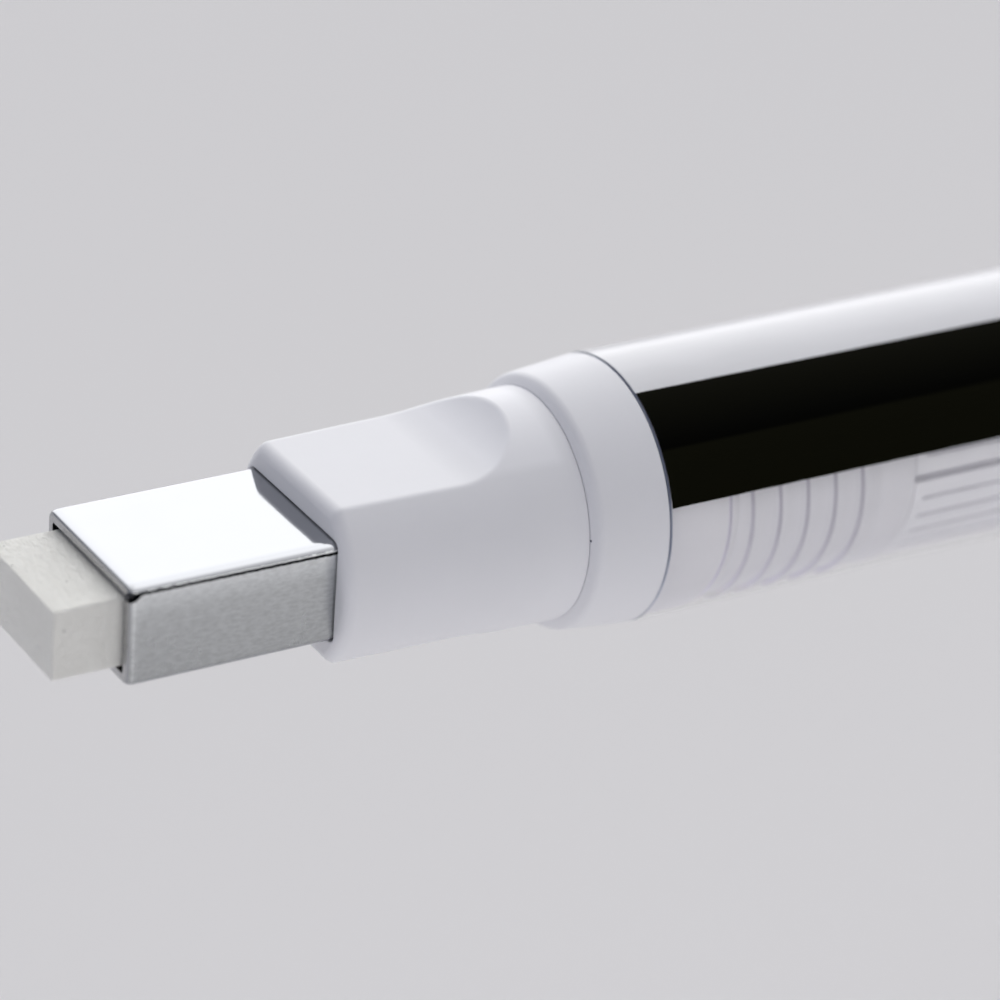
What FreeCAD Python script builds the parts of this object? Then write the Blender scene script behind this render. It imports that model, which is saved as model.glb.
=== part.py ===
import FreeCAD, Part
import math
import os
import re
import Sketcher
from FreeCAD import Placement, Rotation, Vector

# Push-button eraser holder for a flat stick of eraser.
# Frame: +X runs from the writing tip to the push button, the origin is the
# centre of the metal sleeve's mouth, +Z is square to the stick's wide face.
# Every length is in millimetres.

# ---------------------------------------------------------------- sizes
# alias, value or a sum of earlier aliases, meaning
SIZES = [
    # shared
    ("joint_gap", 0.02, "gap at the end-to-end joints"),
    ("cut_across", 20.0, "depth of the cuts right across nose and clip"),
    # eraser stick
    ("stick_wide", 5.0, "eraser stick, wide side"),
    ("stick_thick", 2.5, "eraser stick, thin side"),
    ("stick_long", 87.0, "new refill"),
    ("stick_out", 2.42, "stick standing out of the sleeve"),
    ("stick_worn", 0.06, "how far the far corner of the end is worn back"),
    ("stick_round", 0.12, "rounding of the stick's long edges"),
    # folded metal sleeve
    ("sleeve_wide", 6.04, "folded sleeve, outside, wide side"),
    ("sleeve_high", 3.66, "folded sleeve, outside, thin side"),
    ("sleeve_wall", 0.28, "sheet thickness"),
    ("sleeve_bend", 0.34, "outside bend radius"),
    ("sleeve_bend_in", 0.10, "inside bend radius"),
    ("sleeve_long", 13.0, "whole sleeve"),
    ("hollow_wide", "sleeve_wide/2-sleeve_wall", "half the hollow, wide side"),
    ("hollow_high", "sleeve_high/2-sleeve_wall", "half the hollow, thin side"),
    ("mouth_turn", 0.14, "how far the sheet is turned in at the mouth"),
    ("mouth_long", 0.34, "length of the turned-in rim"),
    ("mouth_round", 0.20, "rounding of the mouth's outer edge"),
    ("seam_front", 1.57, "height of the seam at the mouth"),
    ("seam_rear", 1.50, "height of the seam at the sleeve's rear"),
    ("seam_half", 0.035, "half the seam's gap"),
    ("notch_half", 0.17, "half the notch at the seam's mouth"),
    ("notch_long", 0.42, "length of the notch"),
    # nose
    ("nose_front", 7.36, "front face of the nose"),
    ("nose_thin", 3.86, "nose radius at its front"),
    ("nose_thick", 4.03, "nose radius at the collar"),
    ("nose_rear", 16.40, "rear face of the visible nose"),
    ("nose_lip", 0.40, "rounding of the nose's front edge"),
    ("flat_high", 2.85, "half the distance across the nose flats"),
    ("flat_rear", 12.30, "where the flat starts to run out"),
    ("runout_bow", 3.90, "radius of the run-out"),
    ("runout_rear", 14.95, "where the run-out leaves the nose"),
    ("runout_top", 4.2115, "height where the run-out arc ends"),
    ("recess_gap", 0.02, "gap round the sleeve in the nose"),
    ("recess_rear", 15.20, "bottom of the sleeve's recess"),
    ("channel_wide", 5.30, "stick channel, wide side"),
    ("channel_high", 2.80, "stick channel, thin side"),
    ("neck_thick", 3.60, "nose neck radius"),
    ("bead_thick", 3.75, "snap bead radius"),
    ("bead_front", 17.80, "snap bead front"),
    ("bead_rear", 18.40, "snap bead rear"),
    ("bead_foot", 0.10, "spread of the bead's foot beyond its ends"),
    ("bead_inset", 0.05, "inset of the bead's top from its ends"),
    ("neck_rear", 19.40, "neck rear face"),
    ("shank_thick", 3.28, "nose shank radius"),
    ("shank_taper", 0.30, "length of the shank's end chamfer"),
    ("shank_drop", 0.15, "depth of the shank's end chamfer"),
    ("nose_end", 25.20, "nose rear end"),
    # retainer
    ("grip_wide", "sleeve_wide-recess_gap", "retainer outside, wide side"),
    ("grip_high", "sleeve_high-recess_gap", "retainer outside, thin side"),
    ("grip_gap", 0.01, "gap round the stick in the retainer"),
    # collar
    ("collar_front", 16.44, "front face of the collar"),
    ("collar_lip_low", 4.08, "collar radius at its front face"),
    ("collar_lip_high", 4.42, "collar radius at the corner of the lip"),
    ("collar_lip_corner", 16.60, "corner of the lip before rounding"),
    ("collar_lip_round", 0.60, "rounding of the lip"),
    ("collar_back_round", 0.06, "rounding of the collar's rear edge"),
    ("barrel_front", 19.17, "joint line of collar and barrel"),
    ("collar_rear", "barrel_front-joint_gap", "rear face of the collar's outside"),
    ("barrel_thick", 4.66, "barrel radius"),
    ("snap_play", 0.06, "play round the neck and at the bead's ends"),
    ("collar_bore", "neck_thick+snap_play", "collar bore over the nose neck"),
    ("snap_bore", 3.82, "collar snap groove radius"),
    ("snap_front", "bead_front-snap_play", "snap groove front"),
    ("snap_rear", "bead_rear+snap_play", "snap groove rear"),
    ("collar_step", 19.50, "bottom of the neck's counterbore"),
    ("spigot_bore", 3.36, "spigot bore"),
    ("spigot_pilot", 4.12, "pilot radius of the spigot"),
    ("thread_front", 21.62, "end of the spigot's pilot"),
    ("pilot_slope", 0.20, "length of the slope behind the pilot"),
    ("thread_run", 0.80, "from the pilot to the start of the thread"),
    ("thread_root", 3.82, "root radius of the spigot thread"),
    ("thread_crest", "spigot_pilot", "crest radius of the spigot thread"),
    ("thread_pitch", 1.12, "right-hand thread pitch"),
    ("thread_rise", 5.40, "length of the thread"),
    ("thread_foot", 0.52, "thread width at its root"),
    ("thread_top", 0.16, "thread width at its crest"),
    ("thread_sink", 0.06, "how far the thread's section sinks into the root"),
    ("thread_start", "thread_front+thread_run", "front of the thread's first section"),
    ("thread_mid", "thread_start+thread_foot/2", "middle of the thread's first section"),
    ("spigot_shoulder", 29.05, "start of the spigot's end chamfer"),
    ("spigot_end", 29.30, "spigot end"),
    ("spigot_tip", 3.70, "radius at the spigot's end"),
    ("lip_front", 28.30, "front of the ring stop"),
    ("lip_slope", 0.16, "length of the slope up to the ring stop"),
    ("lip_bore", 3.20, "bore of the ring stop"),
    # barrel
    ("pilot_bore", 4.17, "barrel bore over the pilot"),
    ("pilot_gap", 0.05, "from the pilot's end to the slope in the barrel"),
    ("barrel_bore", 3.98, "front bore of the barrel"),
    ("groove_deep", 4.22, "bottom radius of the internal thread"),
    ("groove_mouth", 0.58, "internal thread width at the bore"),
    ("groove_floor", 0.32, "internal thread width at its bottom"),
    ("groove_over", 0.04, "how far the groove's section reaches into the bore"),
    ("groove_run", 0.50, "extra length at the internal thread's end"),
    ("groove_mid", "thread_mid-thread_pitch", "middle of the groove's first section"),
    ("barrel_step", 47.05, "shoulder behind the clutch housing"),
    ("barrel_mid", 3.80, "middle bore of the barrel"),
    ("tail_seat", 94.0, "start of the rear counterbore"),
    ("tail_bore", 4.10, "rear counterbore"),
    ("barrel_rear", 104.0, "rear end of the barrel"),
    # clutch ring
    ("ring_front", 30.55, "clutch ring front"),
    ("ring_rear", 33.20, "clutch ring rear"),
    ("ring_bore", 2.90, "clutch ring bore"),
    ("ring_thick", 3.27, "clutch ring radius"),
    ("ring_bevel", 0.08, "clutch ring outer chamfers"),
    ("ring_bevel_in", 0.06, "clutch ring bore chamfers"),
    # jaws
    ("jaw_front", 29.50, "jaw head front"),
    ("jaw_head", 2.98, "jaw head radius"),
    ("jaw_bevel", 0.15, "jaw head chamfer"),
    ("jaw_head_rear", 30.45, "jaw head rear"),
    ("jaw_land", 2.77, "clamped land radius"),
    ("jaw_land_rear", 31.55, "clamped land rear"),
    ("jaw_neck", 2.48, "jaw arm radius"),
    ("jaw_slope", 0.30, "length of the slopes at the arm's ends"),
    ("jaw_root", 2.80, "jaw root radius"),
    ("jaw_root_front", 42.20, "jaw root front"),
    ("jaw_rear", 44.50, "jaw rear"),
    ("jaw_gap", 1.27, "half the gap between the jaws"),
    ("jaw_cut", 12.0, "depth of the cuts right across a jaw"),
    ("tooth_first", 0.35, "from the jaw's front to the first tooth cut"),
    ("tooth_wide", 0.40, "width of a tooth cut at the gap"),
    ("tooth_lean", 0.05, "tooth cut's bottom behind its front edge"),
    ("tooth_deep", 0.22, "depth of a grip tooth"),
    ("tooth_pitch", 0.85, "spacing of the grip teeth"),
    ("tooth_count", 8, "grip teeth on a jaw"),
    # clutch housing
    ("housing_front", 29.50, "clutch housing front"),
    ("housing_rear", 47.00, "clutch housing rear"),
    ("housing_thick", 3.93, "clutch housing radius"),
    ("housing_bevel", 0.10, "length of the front chamfer"),
    ("housing_drop", 0.12, "depth of the front chamfer"),
    ("housing_bevel_rear", 0.20, "rear chamfer"),
    ("housing_bore", 3.30, "ring chamber radius"),
    ("rib_front", 33.25, "ring's rear stop, front"),
    ("rib_rear", 34.25, "ring's rear stop, rear"),
    ("rib_bore", 2.98, "ring's rear stop, bore"),
    ("slide_bore", 3.27, "holder bore"),
    ("flute_wide", 0.12, "half the width of a flute"),
    ("flute_taper", 0.04, "narrowing of each flute side to its bottom"),
    ("flute_turn", -0.305, "offset of the flutes round the housing"),
    ("flute_front", 29.98, "start of the flutes"),
    ("flute_deep", 0.17, "depth of a flute"),
    ("flute_rear", 45.50, "end of the flutes"),
    ("flute_count", 30, "flutes round the housing"),
    ("key_wide", 0.17, "half the width of the key slot"),
    ("key_taper", 0.03, "narrowing of each key slot side to its bottom"),
    ("key_deep", 0.40, "depth of the key slot"),
    ("key_turn", 88.4, "place of the key slot round the housing, degrees"),
    # spring
    ("spring_mean", 3.52, "coil radius"),
    ("spring_wire", 0.17, "wire radius"),
    ("spring_front", 47.20, "first coil centre"),
    ("spring_rise", 12.60, "coil length"),
    ("spring_pitch", 1.575, "coil pitch"),
    # chuck holder and guide tube
    ("holder_front", 42.0, "holder front"),
    ("holder_thick", 3.20, "holder and guide tube radius"),
    ("holder_bevel", 0.15, "holder front chamfer"),
    ("holder_bore", 2.85, "holder and guide tube bore"),
    ("flange_front", 60.0, "flange front"),
    ("flange_rear", 61.2, "flange rear"),
    ("flange_thick", 3.70, "flange radius"),
    ("socket_thick", 3.00, "holder's rear neck radius"),
    ("socket_rear", 65.0, "holder's rear end"),
    ("socket_gap", 0.05, "gap behind the holder in the tube's socket"),
    ("socket_bore", 3.02, "tube's socket radius"),
    ("tube_rear", 106.0, "guide tube rear end"),
    # tail sleeve, clip and button
    ("tail_gap", 0.05, "gap in front of the tail sleeve"),
    ("tail_bevel", 0.20, "chamfer at the tail sleeve's front"),
    ("tail_spigot", 4.07, "tail sleeve spigot radius"),
    ("tail_rear", 110.0, "tail sleeve rear face"),
    ("tail_hole", 3.60, "tail sleeve bore"),
    ("tail_edge", 0.45, "rear edge rounding"),
    ("boss_half", 2.20, "half the width of the clip boss"),
    ("boss_low", 3.95, "inner end of the clip boss"),
    ("boss_high", 7.05, "outer end of the clip boss"),
    ("boss_front", "barrel_rear", "clip boss front, before the joint's gap"),
    ("boss_rear", 109.1, "clip boss rear"),
    ("boss_round", 0.30, "rounding of the boss's edges"),
    ("root_x", 107.2, "clip hinge line, along the axis"),
    ("root_r", 5.70, "clip hinge line, out from the axis"),
    ("root_roll", 0.65, "rolled root radius"),
    ("root_seat", 0.72, "seat radius round the rolled root"),
    ("slot_half", 1.88, "half the width of the clip slot"),
    ("slot_low", 5.60, "clip slot, inner side"),
    ("slot_high", 6.70, "clip slot, outer side"),
    ("slot_bend", 0.60, "from the hinge line to the bend in the slot's outer side"),
    ("slot_bend_drop", 0.18, "drop of the slot's outer side at its bend"),
    ("slot_root_drop", 0.24, "drop of the slot's outer side at the hinge line"),
    ("clip_half", 1.80, "half the clip's width"),
    ("clip_tip_half", 1.35, "half the clip's width near its end"),
    ("clip_tip_cut", 0.70, "further narrowing at the end of the side cuts"),
    ("clip_tip_long", 1.20, "from the clip's end to the narrower part"),
    ("clip_taper", 4.0, "from the hinge line to the start of the taper"),
    ("clip_thick", 0.50, "clip strip thickness"),
    ("clip_low", 5.85, "clip arm inner side at the root"),
    ("clip_low_tip", 5.62, "clip arm inner side at the ball"),
    ("clip_bend", 72.0, "start of the lifted end"),
    ("clip_bend_lean", 0.10, "inner corner of the bend, forward of the outer one"),
    ("clip_end", 69.6, "clip end"),
    ("clip_end_lean", 0.20, "inner corner of the end, forward of the outer one"),
    ("clip_end_rise", 0.14, "extra lift of the end's inner corner"),
    ("clip_lift", 0.85, "height of the lifted end"),
    ("ball_x", 74.6, "ball position"),
    ("ball_thick", 0.98, "ball radius"),
    ("ball_r", 5.70, "ball centre, out from the axis"),
    ("clip_angle", 112.0, "clip position round the axis from +Z, degrees"),
    ("button_front", 100.0, "button skirt front"),
    ("button_bevel", 0.10, "chamfers at the skirt's front"),
    ("button_thick", 3.55, "button radius"),
    ("button_bore", 3.22, "button bore over the tube"),
    ("button_stop", 106.1, "button's inner stop"),
    ("button_core", 2.60, "button's inner hollow radius"),
    ("button_floor", 116.4, "button's inner floor"),
    ("button_crown", 1.60, "rounding of the button's rim"),
    ("button_end", 118.0, "button end"),
]
V = {}  # value of each size
WORD = re.compile(r"[a-z][a-z_]*")
SWAP_SIGNS = str.maketrans("+-", "-+")


# ---------------------------------------------------------------- lengths as text
# A length is a sum of size names and numbers. Plain numbers in the outlines
# below only carry a cut clear of the solid.
def ref(text):
    """Turn a sum of size names into an expression on the sheet."""
    return WORD.sub(lambda match: "Sizes." + match.group(0), text)


def val(text):
    """Value of a sum or difference of size names and numbers, each with an optional /n."""
    total = 0.0
    for sign, term in re.findall(r"([+-]?)([^+-]+)", text):
        parts = term.split("/")
        number = V[parts[0]] if parts[0] in V else float(parts[0])
        for divisor in parts[1:]:
            number /= float(divisor)
        total += -number if sign == "-" else number
    return total


def negated(text):
    """The same sum with every sign swapped."""
    swapped = text.translate(SWAP_SIGNS)
    return swapped[1:] if text.startswith("-") else "-" + swapped


def mirrored(points):
    """Points mirrored in the sketch's horizontal axis."""
    return [(u, negated(v)) for u, v in points]


def bind(item, prop, text):
    item.setExpression(prop, ref(text))


def fill_sheet():
    sheet = doc.addObject("Spreadsheet::Sheet", "Sizes")
    for cell, heading in (("A1", "name"), ("B1", "mm"), ("C1", "meaning")):
        sheet.set(cell, heading)
    for row, (name, value, note) in enumerate(SIZES, start=2):
        derived = isinstance(value, str)
        sheet.set("A%d" % row, name)
        sheet.set("B%d" % row, "=" + value if derived else str(value))
        sheet.set("C%d" % row, note)
        sheet.setAlias("B%d" % row, name)
        V[name] = val(value) if derived else value
    doc.recompute()


# ---------------------------------------------------------------- sketches
def new_body(label):
    return doc.addObject("PartDesign::Body", label)


def origin_item(body, role):
    return next(item for item in body.Origin.OriginFeatures if item.Role == role)


def new_sketch(body, plane, name, offset=None, turn=None):
    """Sketch on an origin plane: XY is (x, y), XZ is (x, z) facing -Y, YZ is
    (y, z) facing +X. offset moves it along its normal, turn names an angle in its plane."""
    sketch = body.newObject("Sketcher::SketchObject", name)
    sketch.AttachmentSupport = [(origin_item(body, plane), "")]
    sketch.MapMode = "FlatFace"
    if turn:
        sketch.AttachmentOffset = Placement(Vector(0, 0, 0), Rotation(Vector(0, 0, 1), V[turn]))
    if offset:
        bind(sketch, "AttachmentOffset.Base.z", offset)
    return sketch


def pin_point(sketch, geo, pos, u, v):
    """Fix one point of a sketch from the origin with lengths from the sheet."""
    for kind, text, axis in (("DistanceX", u, -2), ("DistanceY", v, -1)):
        number = val(text)
        if abs(number) < 1e-9:
            sketch.addConstraint(Sketcher.Constraint("PointOnObject", geo, pos, axis))
        elif number > 0:
            index = sketch.addConstraint(Sketcher.Constraint(kind, -1, 1, geo, pos, number))
            sketch.setExpression("Constraints[%d]" % index, ref(text))
        else:
            # a distance is positive, so the ends and the sign are swapped
            index = sketch.addConstraint(Sketcher.Constraint(kind, geo, pos, -1, 1, -number))
            sketch.setExpression("Constraints[%d]" % index, "-(" + ref(text) + ")")


def pin_radius(sketch, geo, name):
    index = sketch.addConstraint(Sketcher.Constraint("Radius", geo, V[name]))
    sketch.setExpression("Constraints[%d]" % index, ref(name))


def arc_between(a, b, radius, side):
    """Short arc from a to b with its centre to the left (+1) or right (-1) of the
    chord; also tells whether the arc runs from b to a."""
    chord = b - a
    half = chord.Length / 2.0
    normal = Vector(-chord.y, chord.x, 0).normalize()
    rise = math.sqrt(max(radius * radius - half * half, 0.0))
    centre = (a + b) * 0.5 + normal * (rise * side)
    from_a = math.atan2(a.y - centre.y, a.x - centre.x)
    from_b = math.atan2(b.y - centre.y, b.x - centre.x)
    swapped = (from_b - from_a) % (2 * math.pi) > math.pi
    first, last = (from_b, from_a) if swapped else (from_a, from_b)
    if last < first:
        last += 2 * math.pi
    return Part.ArcOfCircle(Part.Circle(centre, Vector(0, 0, 1), radius), first, last), swapped


def outline(sketch, points, bows=None):
    """Closed outline through the points; bows maps a side's index to
    (radius name, +1 or -1) where that side is an arc."""
    bows = bows or {}
    flat = [Vector(val(u), val(v), 0) for u, v in points]
    count = len(points)
    ends = []
    for i in range(count):
        a, b = flat[i], flat[(i + 1) % count]
        swapped = False
        if i in bows:
            name, side = bows[i]
            piece, swapped = arc_between(a, b, V[name], side)
        else:
            piece = Part.LineSegment(a, b)
        sketch.addGeometry(piece, False)
        ends.append((2, 1) if swapped else (1, 2))
    for i in range(count):
        j = (i + 1) % count
        sketch.addConstraint(Sketcher.Constraint("Coincident", i, ends[i][1], j, ends[j][0]))
    for i, (u, v) in enumerate(points):
        pin_point(sketch, i, ends[i][0], u, v)
    for i, (name, _) in bows.items():
        pin_radius(sketch, i, name)
    return sketch


def box_outline(sketch, half_u, half_v):
    """Rectangle centred on the sketch's origin."""
    return outline(sketch, [(negated(half_u), negated(half_v)), (half_u, negated(half_v)),
                            (half_u, half_v), (negated(half_u), half_v)])


def circle(sketch, u, v, radius):
    """Circle; all three arguments are size names."""
    shape = Part.Circle(Vector(V[u], V[v], 0), Vector(0, 0, 1), V[radius])
    index = sketch.addGeometry(shape, False)
    pin_point(sketch, index, 3, u, v)
    pin_radius(sketch, index, radius)
    return sketch


# ---------------------------------------------------------------- features
def finish(body, item):
    body.Tip = item
    doc.recompute()
    return item


def turned(label, points):
    """Body turned about the X axis from a closed outline of (x, radius)."""
    body = new_body(label)
    sketch = outline(new_sketch(body, "XZ_Plane", label + "_profile"), points)
    turn = body.newObject("PartDesign::Revolution", label + "_turn")
    turn.Profile = sketch
    turn.ReferenceAxis = (sketch, ["H_Axis"])
    turn.Angle = 360
    finish(body, turn)
    return body


def pad(body, sketch, name, length, midplane=False):
    item = body.newObject("PartDesign::Pad", name)
    item.Profile = sketch
    bind(item, "Length", length)
    if midplane:
        item.SideType = "Symmetric"
    return finish(body, item)


def pocket(body, sketch, name, length=None, reverse=False, midplane=False):
    """Pocket against the sketch's normal, or along it if reversed; it must
    take material away. Without a length it goes through all."""
    before = body.Tip.Shape.Volume
    item = body.newObject("PartDesign::Pocket", name)
    item.Profile = sketch
    if length is None:
        item.Type = "ThroughAll"
    else:
        bind(item, "Length", length)
    if midplane:
        item.SideType = "Symmetric"
    item.Reversed = reverse
    finish(body, item)
    if not item.Shape.Volume < before - 1e-6:
        raise RuntimeError(name + " takes nothing away")
    return item


def round_edges(body, name, size, test):
    """Fillet on every edge of the body that passes the test."""
    base = body.Tip
    names = ["Edge%d" % (i + 1) for i, edge in enumerate(base.Shape.Edges) if test(edge)]
    if not names:
        raise RuntimeError(name + " finds no edge")
    item = body.newObject("PartDesign::Fillet", name)
    item.Base = (base, names)
    bind(item, "Radius", size)
    return finish(body, item)


def along_x(edge):
    a, b = edge.firstVertex().Point, edge.lastVertex().Point
    return (b - a).Length > 1e-6 and abs(abs((b - a).x) - (b - a).Length) < 1e-6


def ring_at(place, size):
    """Test for a full circle about the axis, from the names of its x and radius."""
    x, radius = V[place], V[size]

    def test(edge):
        box = edge.BoundBox
        return (abs(box.XMin - x) < 1e-3 and abs(box.XMax - x) < 1e-3
                and abs(box.ZMax - radius) < 1e-3)
    return test


def helix(body, sketch, name, kind, pitch, rise):
    """Right-hand helix of the sketch about the X axis."""
    item = body.newObject(kind, name)
    item.Profile = sketch
    item.ReferenceAxis = (sketch, ["H_Axis"])
    item.Mode = 0  # by pitch and height
    bind(item, "Pitch", pitch)
    bind(item, "Height", rise)
    item.Angle = 0
    item.LeftHanded = False
    return finish(body, item)


def turn_to_clip(body):
    """Swing a body built at +Z round the axis to the clip's place."""
    body.Placement = Placement(Vector(0, 0, 0), Rotation(Vector(1, 0, 0), -V["clip_angle"]))


# ---------------------------------------------------------------- front pieces
def eraser_stick():
    body = new_body("eraser_stick")
    sketch = new_sketch(body, "YZ_Plane", "stick_section", "-stick_out")
    box_outline(sketch, "stick_wide/2", "stick_thick/2")
    pad(body, sketch, "stick_pad", "stick_long")
    round_edges(body, "stick_edges", "stick_round", along_x)
    # the end is worn a little out of square
    sketch = outline(new_sketch(body, "XY_Plane", "stick_wear"), [
        ("-stick_out-1", "-stick_wide"), ("-stick_out", "-stick_wide/2-0.02"),
        ("-stick_out+stick_worn", "stick_wide/2+0.02"), ("-stick_out-1", "stick_wide")])
    pocket(body, sketch, "stick_wear_cut", "stick_wide", midplane=True)


def tip_sleeve():
    """Folded metal sleeve round the stick."""
    def inner_corner(edge):
        y, z = abs(edge.CenterOfMass.y), abs(edge.CenterOfMass.z)
        return (along_x(edge) and abs(y - V["hollow_wide"]) < 0.01
                and z < V["hollow_high"] + 0.01)

    def outer_rim(edge):
        y, z = abs(edge.CenterOfMass.y), abs(edge.CenterOfMass.z)
        return (edge.BoundBox.XMax < 1e-4
                and max(y / V["sleeve_wide"], z / V["sleeve_high"]) > 0.46)

    body = new_body("tip_sleeve")
    sketch = new_sketch(body, "YZ_Plane", "sleeve_outside")
    box_outline(sketch, "sleeve_wide/2", "sleeve_high/2")
    pad(body, sketch, "sleeve_block", "sleeve_long")
    round_edges(body, "sleeve_bends", "sleeve_bend", along_x)
    sketch = new_sketch(body, "YZ_Plane", "sleeve_inside", "mouth_long")
    box_outline(sketch, "hollow_wide", "hollow_high")
    pocket(body, sketch, "sleeve_hollow", reverse=True)
    round_edges(body, "sleeve_bends_in", "sleeve_bend_in", inner_corner)
    # the sheet is turned in a little round the mouth
    sketch = new_sketch(body, "YZ_Plane", "sleeve_mouth", "mouth_long+0.1")
    box_outline(sketch, "hollow_wide-mouth_turn", "hollow_high-mouth_turn")
    pocket(body, sketch, "sleeve_mouth_cut", "mouth_long+0.3")
    round_edges(body, "sleeve_mouth_round", "mouth_round", outer_rim)
    # the seam of the fold runs along the -Y side, with a small notch at the mouth
    sketch = new_sketch(body, "XZ_Plane", "sleeve_seam", "hollow_wide-mouth_turn-0.02")
    outline(sketch, [
        ("-0.2", "seam_front-notch_half"), ("0", "seam_front-notch_half"),
        ("notch_long", "seam_front-seam_half"), ("sleeve_long+0.2", "seam_rear-seam_half"),
        ("sleeve_long+0.2", "seam_rear+seam_half"), ("notch_long", "seam_front+seam_half"),
        ("0", "seam_front+notch_half"), ("-0.2", "seam_front+notch_half")])
    pocket(body, sketch, "sleeve_seam_cut", "sleeve_wall+mouth_turn+0.4", reverse=True)


def nose_cone():
    body = turned("nose_cone", [
        ("nose_front", "0"), ("nose_front", "nose_thin"),
        ("nose_rear", "nose_thick"), ("nose_rear", "neck_thick"),
        ("bead_front-bead_foot", "neck_thick"), ("bead_front+bead_inset", "bead_thick"),
        ("bead_rear-bead_inset", "bead_thick"), ("bead_rear+bead_foot", "neck_thick"),
        ("neck_rear", "neck_thick"), ("neck_rear", "shank_thick"),
        ("nose_end-shank_taper", "shank_thick"), ("nose_end", "shank_thick-shank_drop"),
        ("nose_end", "0")])
    # flats above and below, each running out in an arc
    flat = [("nose_front-0.5", "flat_high"), ("flat_rear", "flat_high"),
            ("runout_rear", "runout_top"), ("runout_rear", "6"), ("nose_front-0.5", "6")]
    for name, points, side in (("flat_top", flat, 1), ("flat_under", mirrored(flat), -1)):
        sketch = new_sketch(body, "XZ_Plane", name)
        outline(sketch, points, {1: ("runout_bow", side)})
        pocket(body, sketch, name + "_cut", "cut_across", midplane=True)
    round_edges(body, "nose_lip", "nose_lip",
                lambda edge: edge.BoundBox.XMax < V["nose_front"] + 1e-4)
    sketch = new_sketch(body, "YZ_Plane", "nose_recess", "nose_front")
    box_outline(sketch, "sleeve_wide/2+recess_gap", "sleeve_high/2+recess_gap")
    pocket(body, sketch, "nose_recess_cut", "recess_rear-nose_front", reverse=True)
    sketch = new_sketch(body, "YZ_Plane", "nose_channel", "nose_front")
    box_outline(sketch, "channel_wide/2", "channel_high/2")
    pocket(body, sketch, "nose_channel_cut", "nose_end-nose_front+1", reverse=True)


def eraser_retainer():
    """Block behind the metal sleeve with a close hole for the stick."""
    body = new_body("eraser_retainer")
    sketch = new_sketch(body, "YZ_Plane", "retainer_section", "sleeve_long+joint_gap")
    box_outline(sketch, "grip_wide/2", "grip_high/2")
    pad(body, sketch, "retainer_pad", "recess_rear-sleeve_long-joint_gap-joint_gap")
    round_edges(body, "retainer_edges", "sleeve_bend", along_x)
    sketch = new_sketch(body, "YZ_Plane", "retainer_hole", "sleeve_long-0.5")
    box_outline(sketch, "stick_wide/2+grip_gap", "stick_thick/2+grip_gap")
    pocket(body, sketch, "retainer_hole_cut", reverse=True)


def front_collar():
    body = turned("front_collar", [
        ("collar_front", "collar_bore"), ("collar_front", "collar_lip_low"),
        ("collar_lip_corner", "collar_lip_high"), ("collar_rear", "barrel_thick"),
        ("collar_rear", "spigot_pilot"), ("thread_front", "spigot_pilot"),
        ("thread_front+pilot_slope", "thread_root"), ("spigot_shoulder", "thread_root"),
        ("spigot_end", "spigot_tip"), ("spigot_end", "lip_bore"), ("lip_front", "lip_bore"),
        ("lip_front-lip_slope", "spigot_bore"), ("collar_step", "spigot_bore"),
        ("collar_step", "collar_bore"), ("snap_rear", "collar_bore"),
        ("snap_rear", "snap_bore"), ("snap_front", "snap_bore"),
        ("snap_front", "collar_bore")])
    round_edges(body, "collar_lip", "collar_lip_round",
                ring_at("collar_lip_corner", "collar_lip_high"))
    round_edges(body, "collar_back_edge", "collar_back_round",
                ring_at("collar_rear", "barrel_thick"))
    sketch = outline(new_sketch(body, "XZ_Plane", "collar_thread"), [
        ("thread_start", "thread_root-thread_sink"),
        ("thread_start+thread_foot", "thread_root-thread_sink"),
        ("thread_mid+thread_top/2", "thread_crest"),
        ("thread_mid-thread_top/2", "thread_crest")])
    helix(body, sketch, "collar_thread_ridge", "PartDesign::AdditiveHelix",
          "thread_pitch", "thread_rise")


def barrel():
    body = turned("barrel", [
        ("barrel_front", "pilot_bore"), ("barrel_front", "barrel_thick"),
        ("barrel_rear", "barrel_thick"), ("barrel_rear", "tail_bore"),
        ("tail_seat", "tail_bore"), ("tail_seat", "barrel_mid"),
        ("barrel_step", "barrel_mid"), ("barrel_step", "barrel_bore"),
        ("thread_front+pilot_gap+pilot_slope", "barrel_bore"),
        ("thread_front+pilot_gap", "pilot_bore")])
    # the groove starts one pitch before the collar's thread
    sketch = outline(new_sketch(body, "XZ_Plane", "barrel_thread"), [
        ("groove_mid-groove_mouth/2", "barrel_bore-groove_over"),
        ("groove_mid+groove_mouth/2", "barrel_bore-groove_over"),
        ("groove_mid+groove_floor/2", "groove_deep"),
        ("groove_mid-groove_floor/2", "groove_deep")])
    helix(body, sketch, "barrel_thread_groove", "PartDesign::SubtractiveHelix",
          "thread_pitch", "thread_rise+thread_pitch+groove_run")


# ---------------------------------------------------------------- clutch
def clutch_ring():
    turned("clutch_ring", [
        ("ring_front", "ring_bore+ring_bevel_in"), ("ring_front", "ring_thick-ring_bevel"),
        ("ring_front+ring_bevel", "ring_thick"), ("ring_rear-ring_bevel", "ring_thick"),
        ("ring_rear", "ring_thick-ring_bevel"), ("ring_rear", "ring_bore+ring_bevel_in"),
        ("ring_rear-ring_bevel_in", "ring_bore"), ("ring_front+ring_bevel_in", "ring_bore")])


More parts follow.
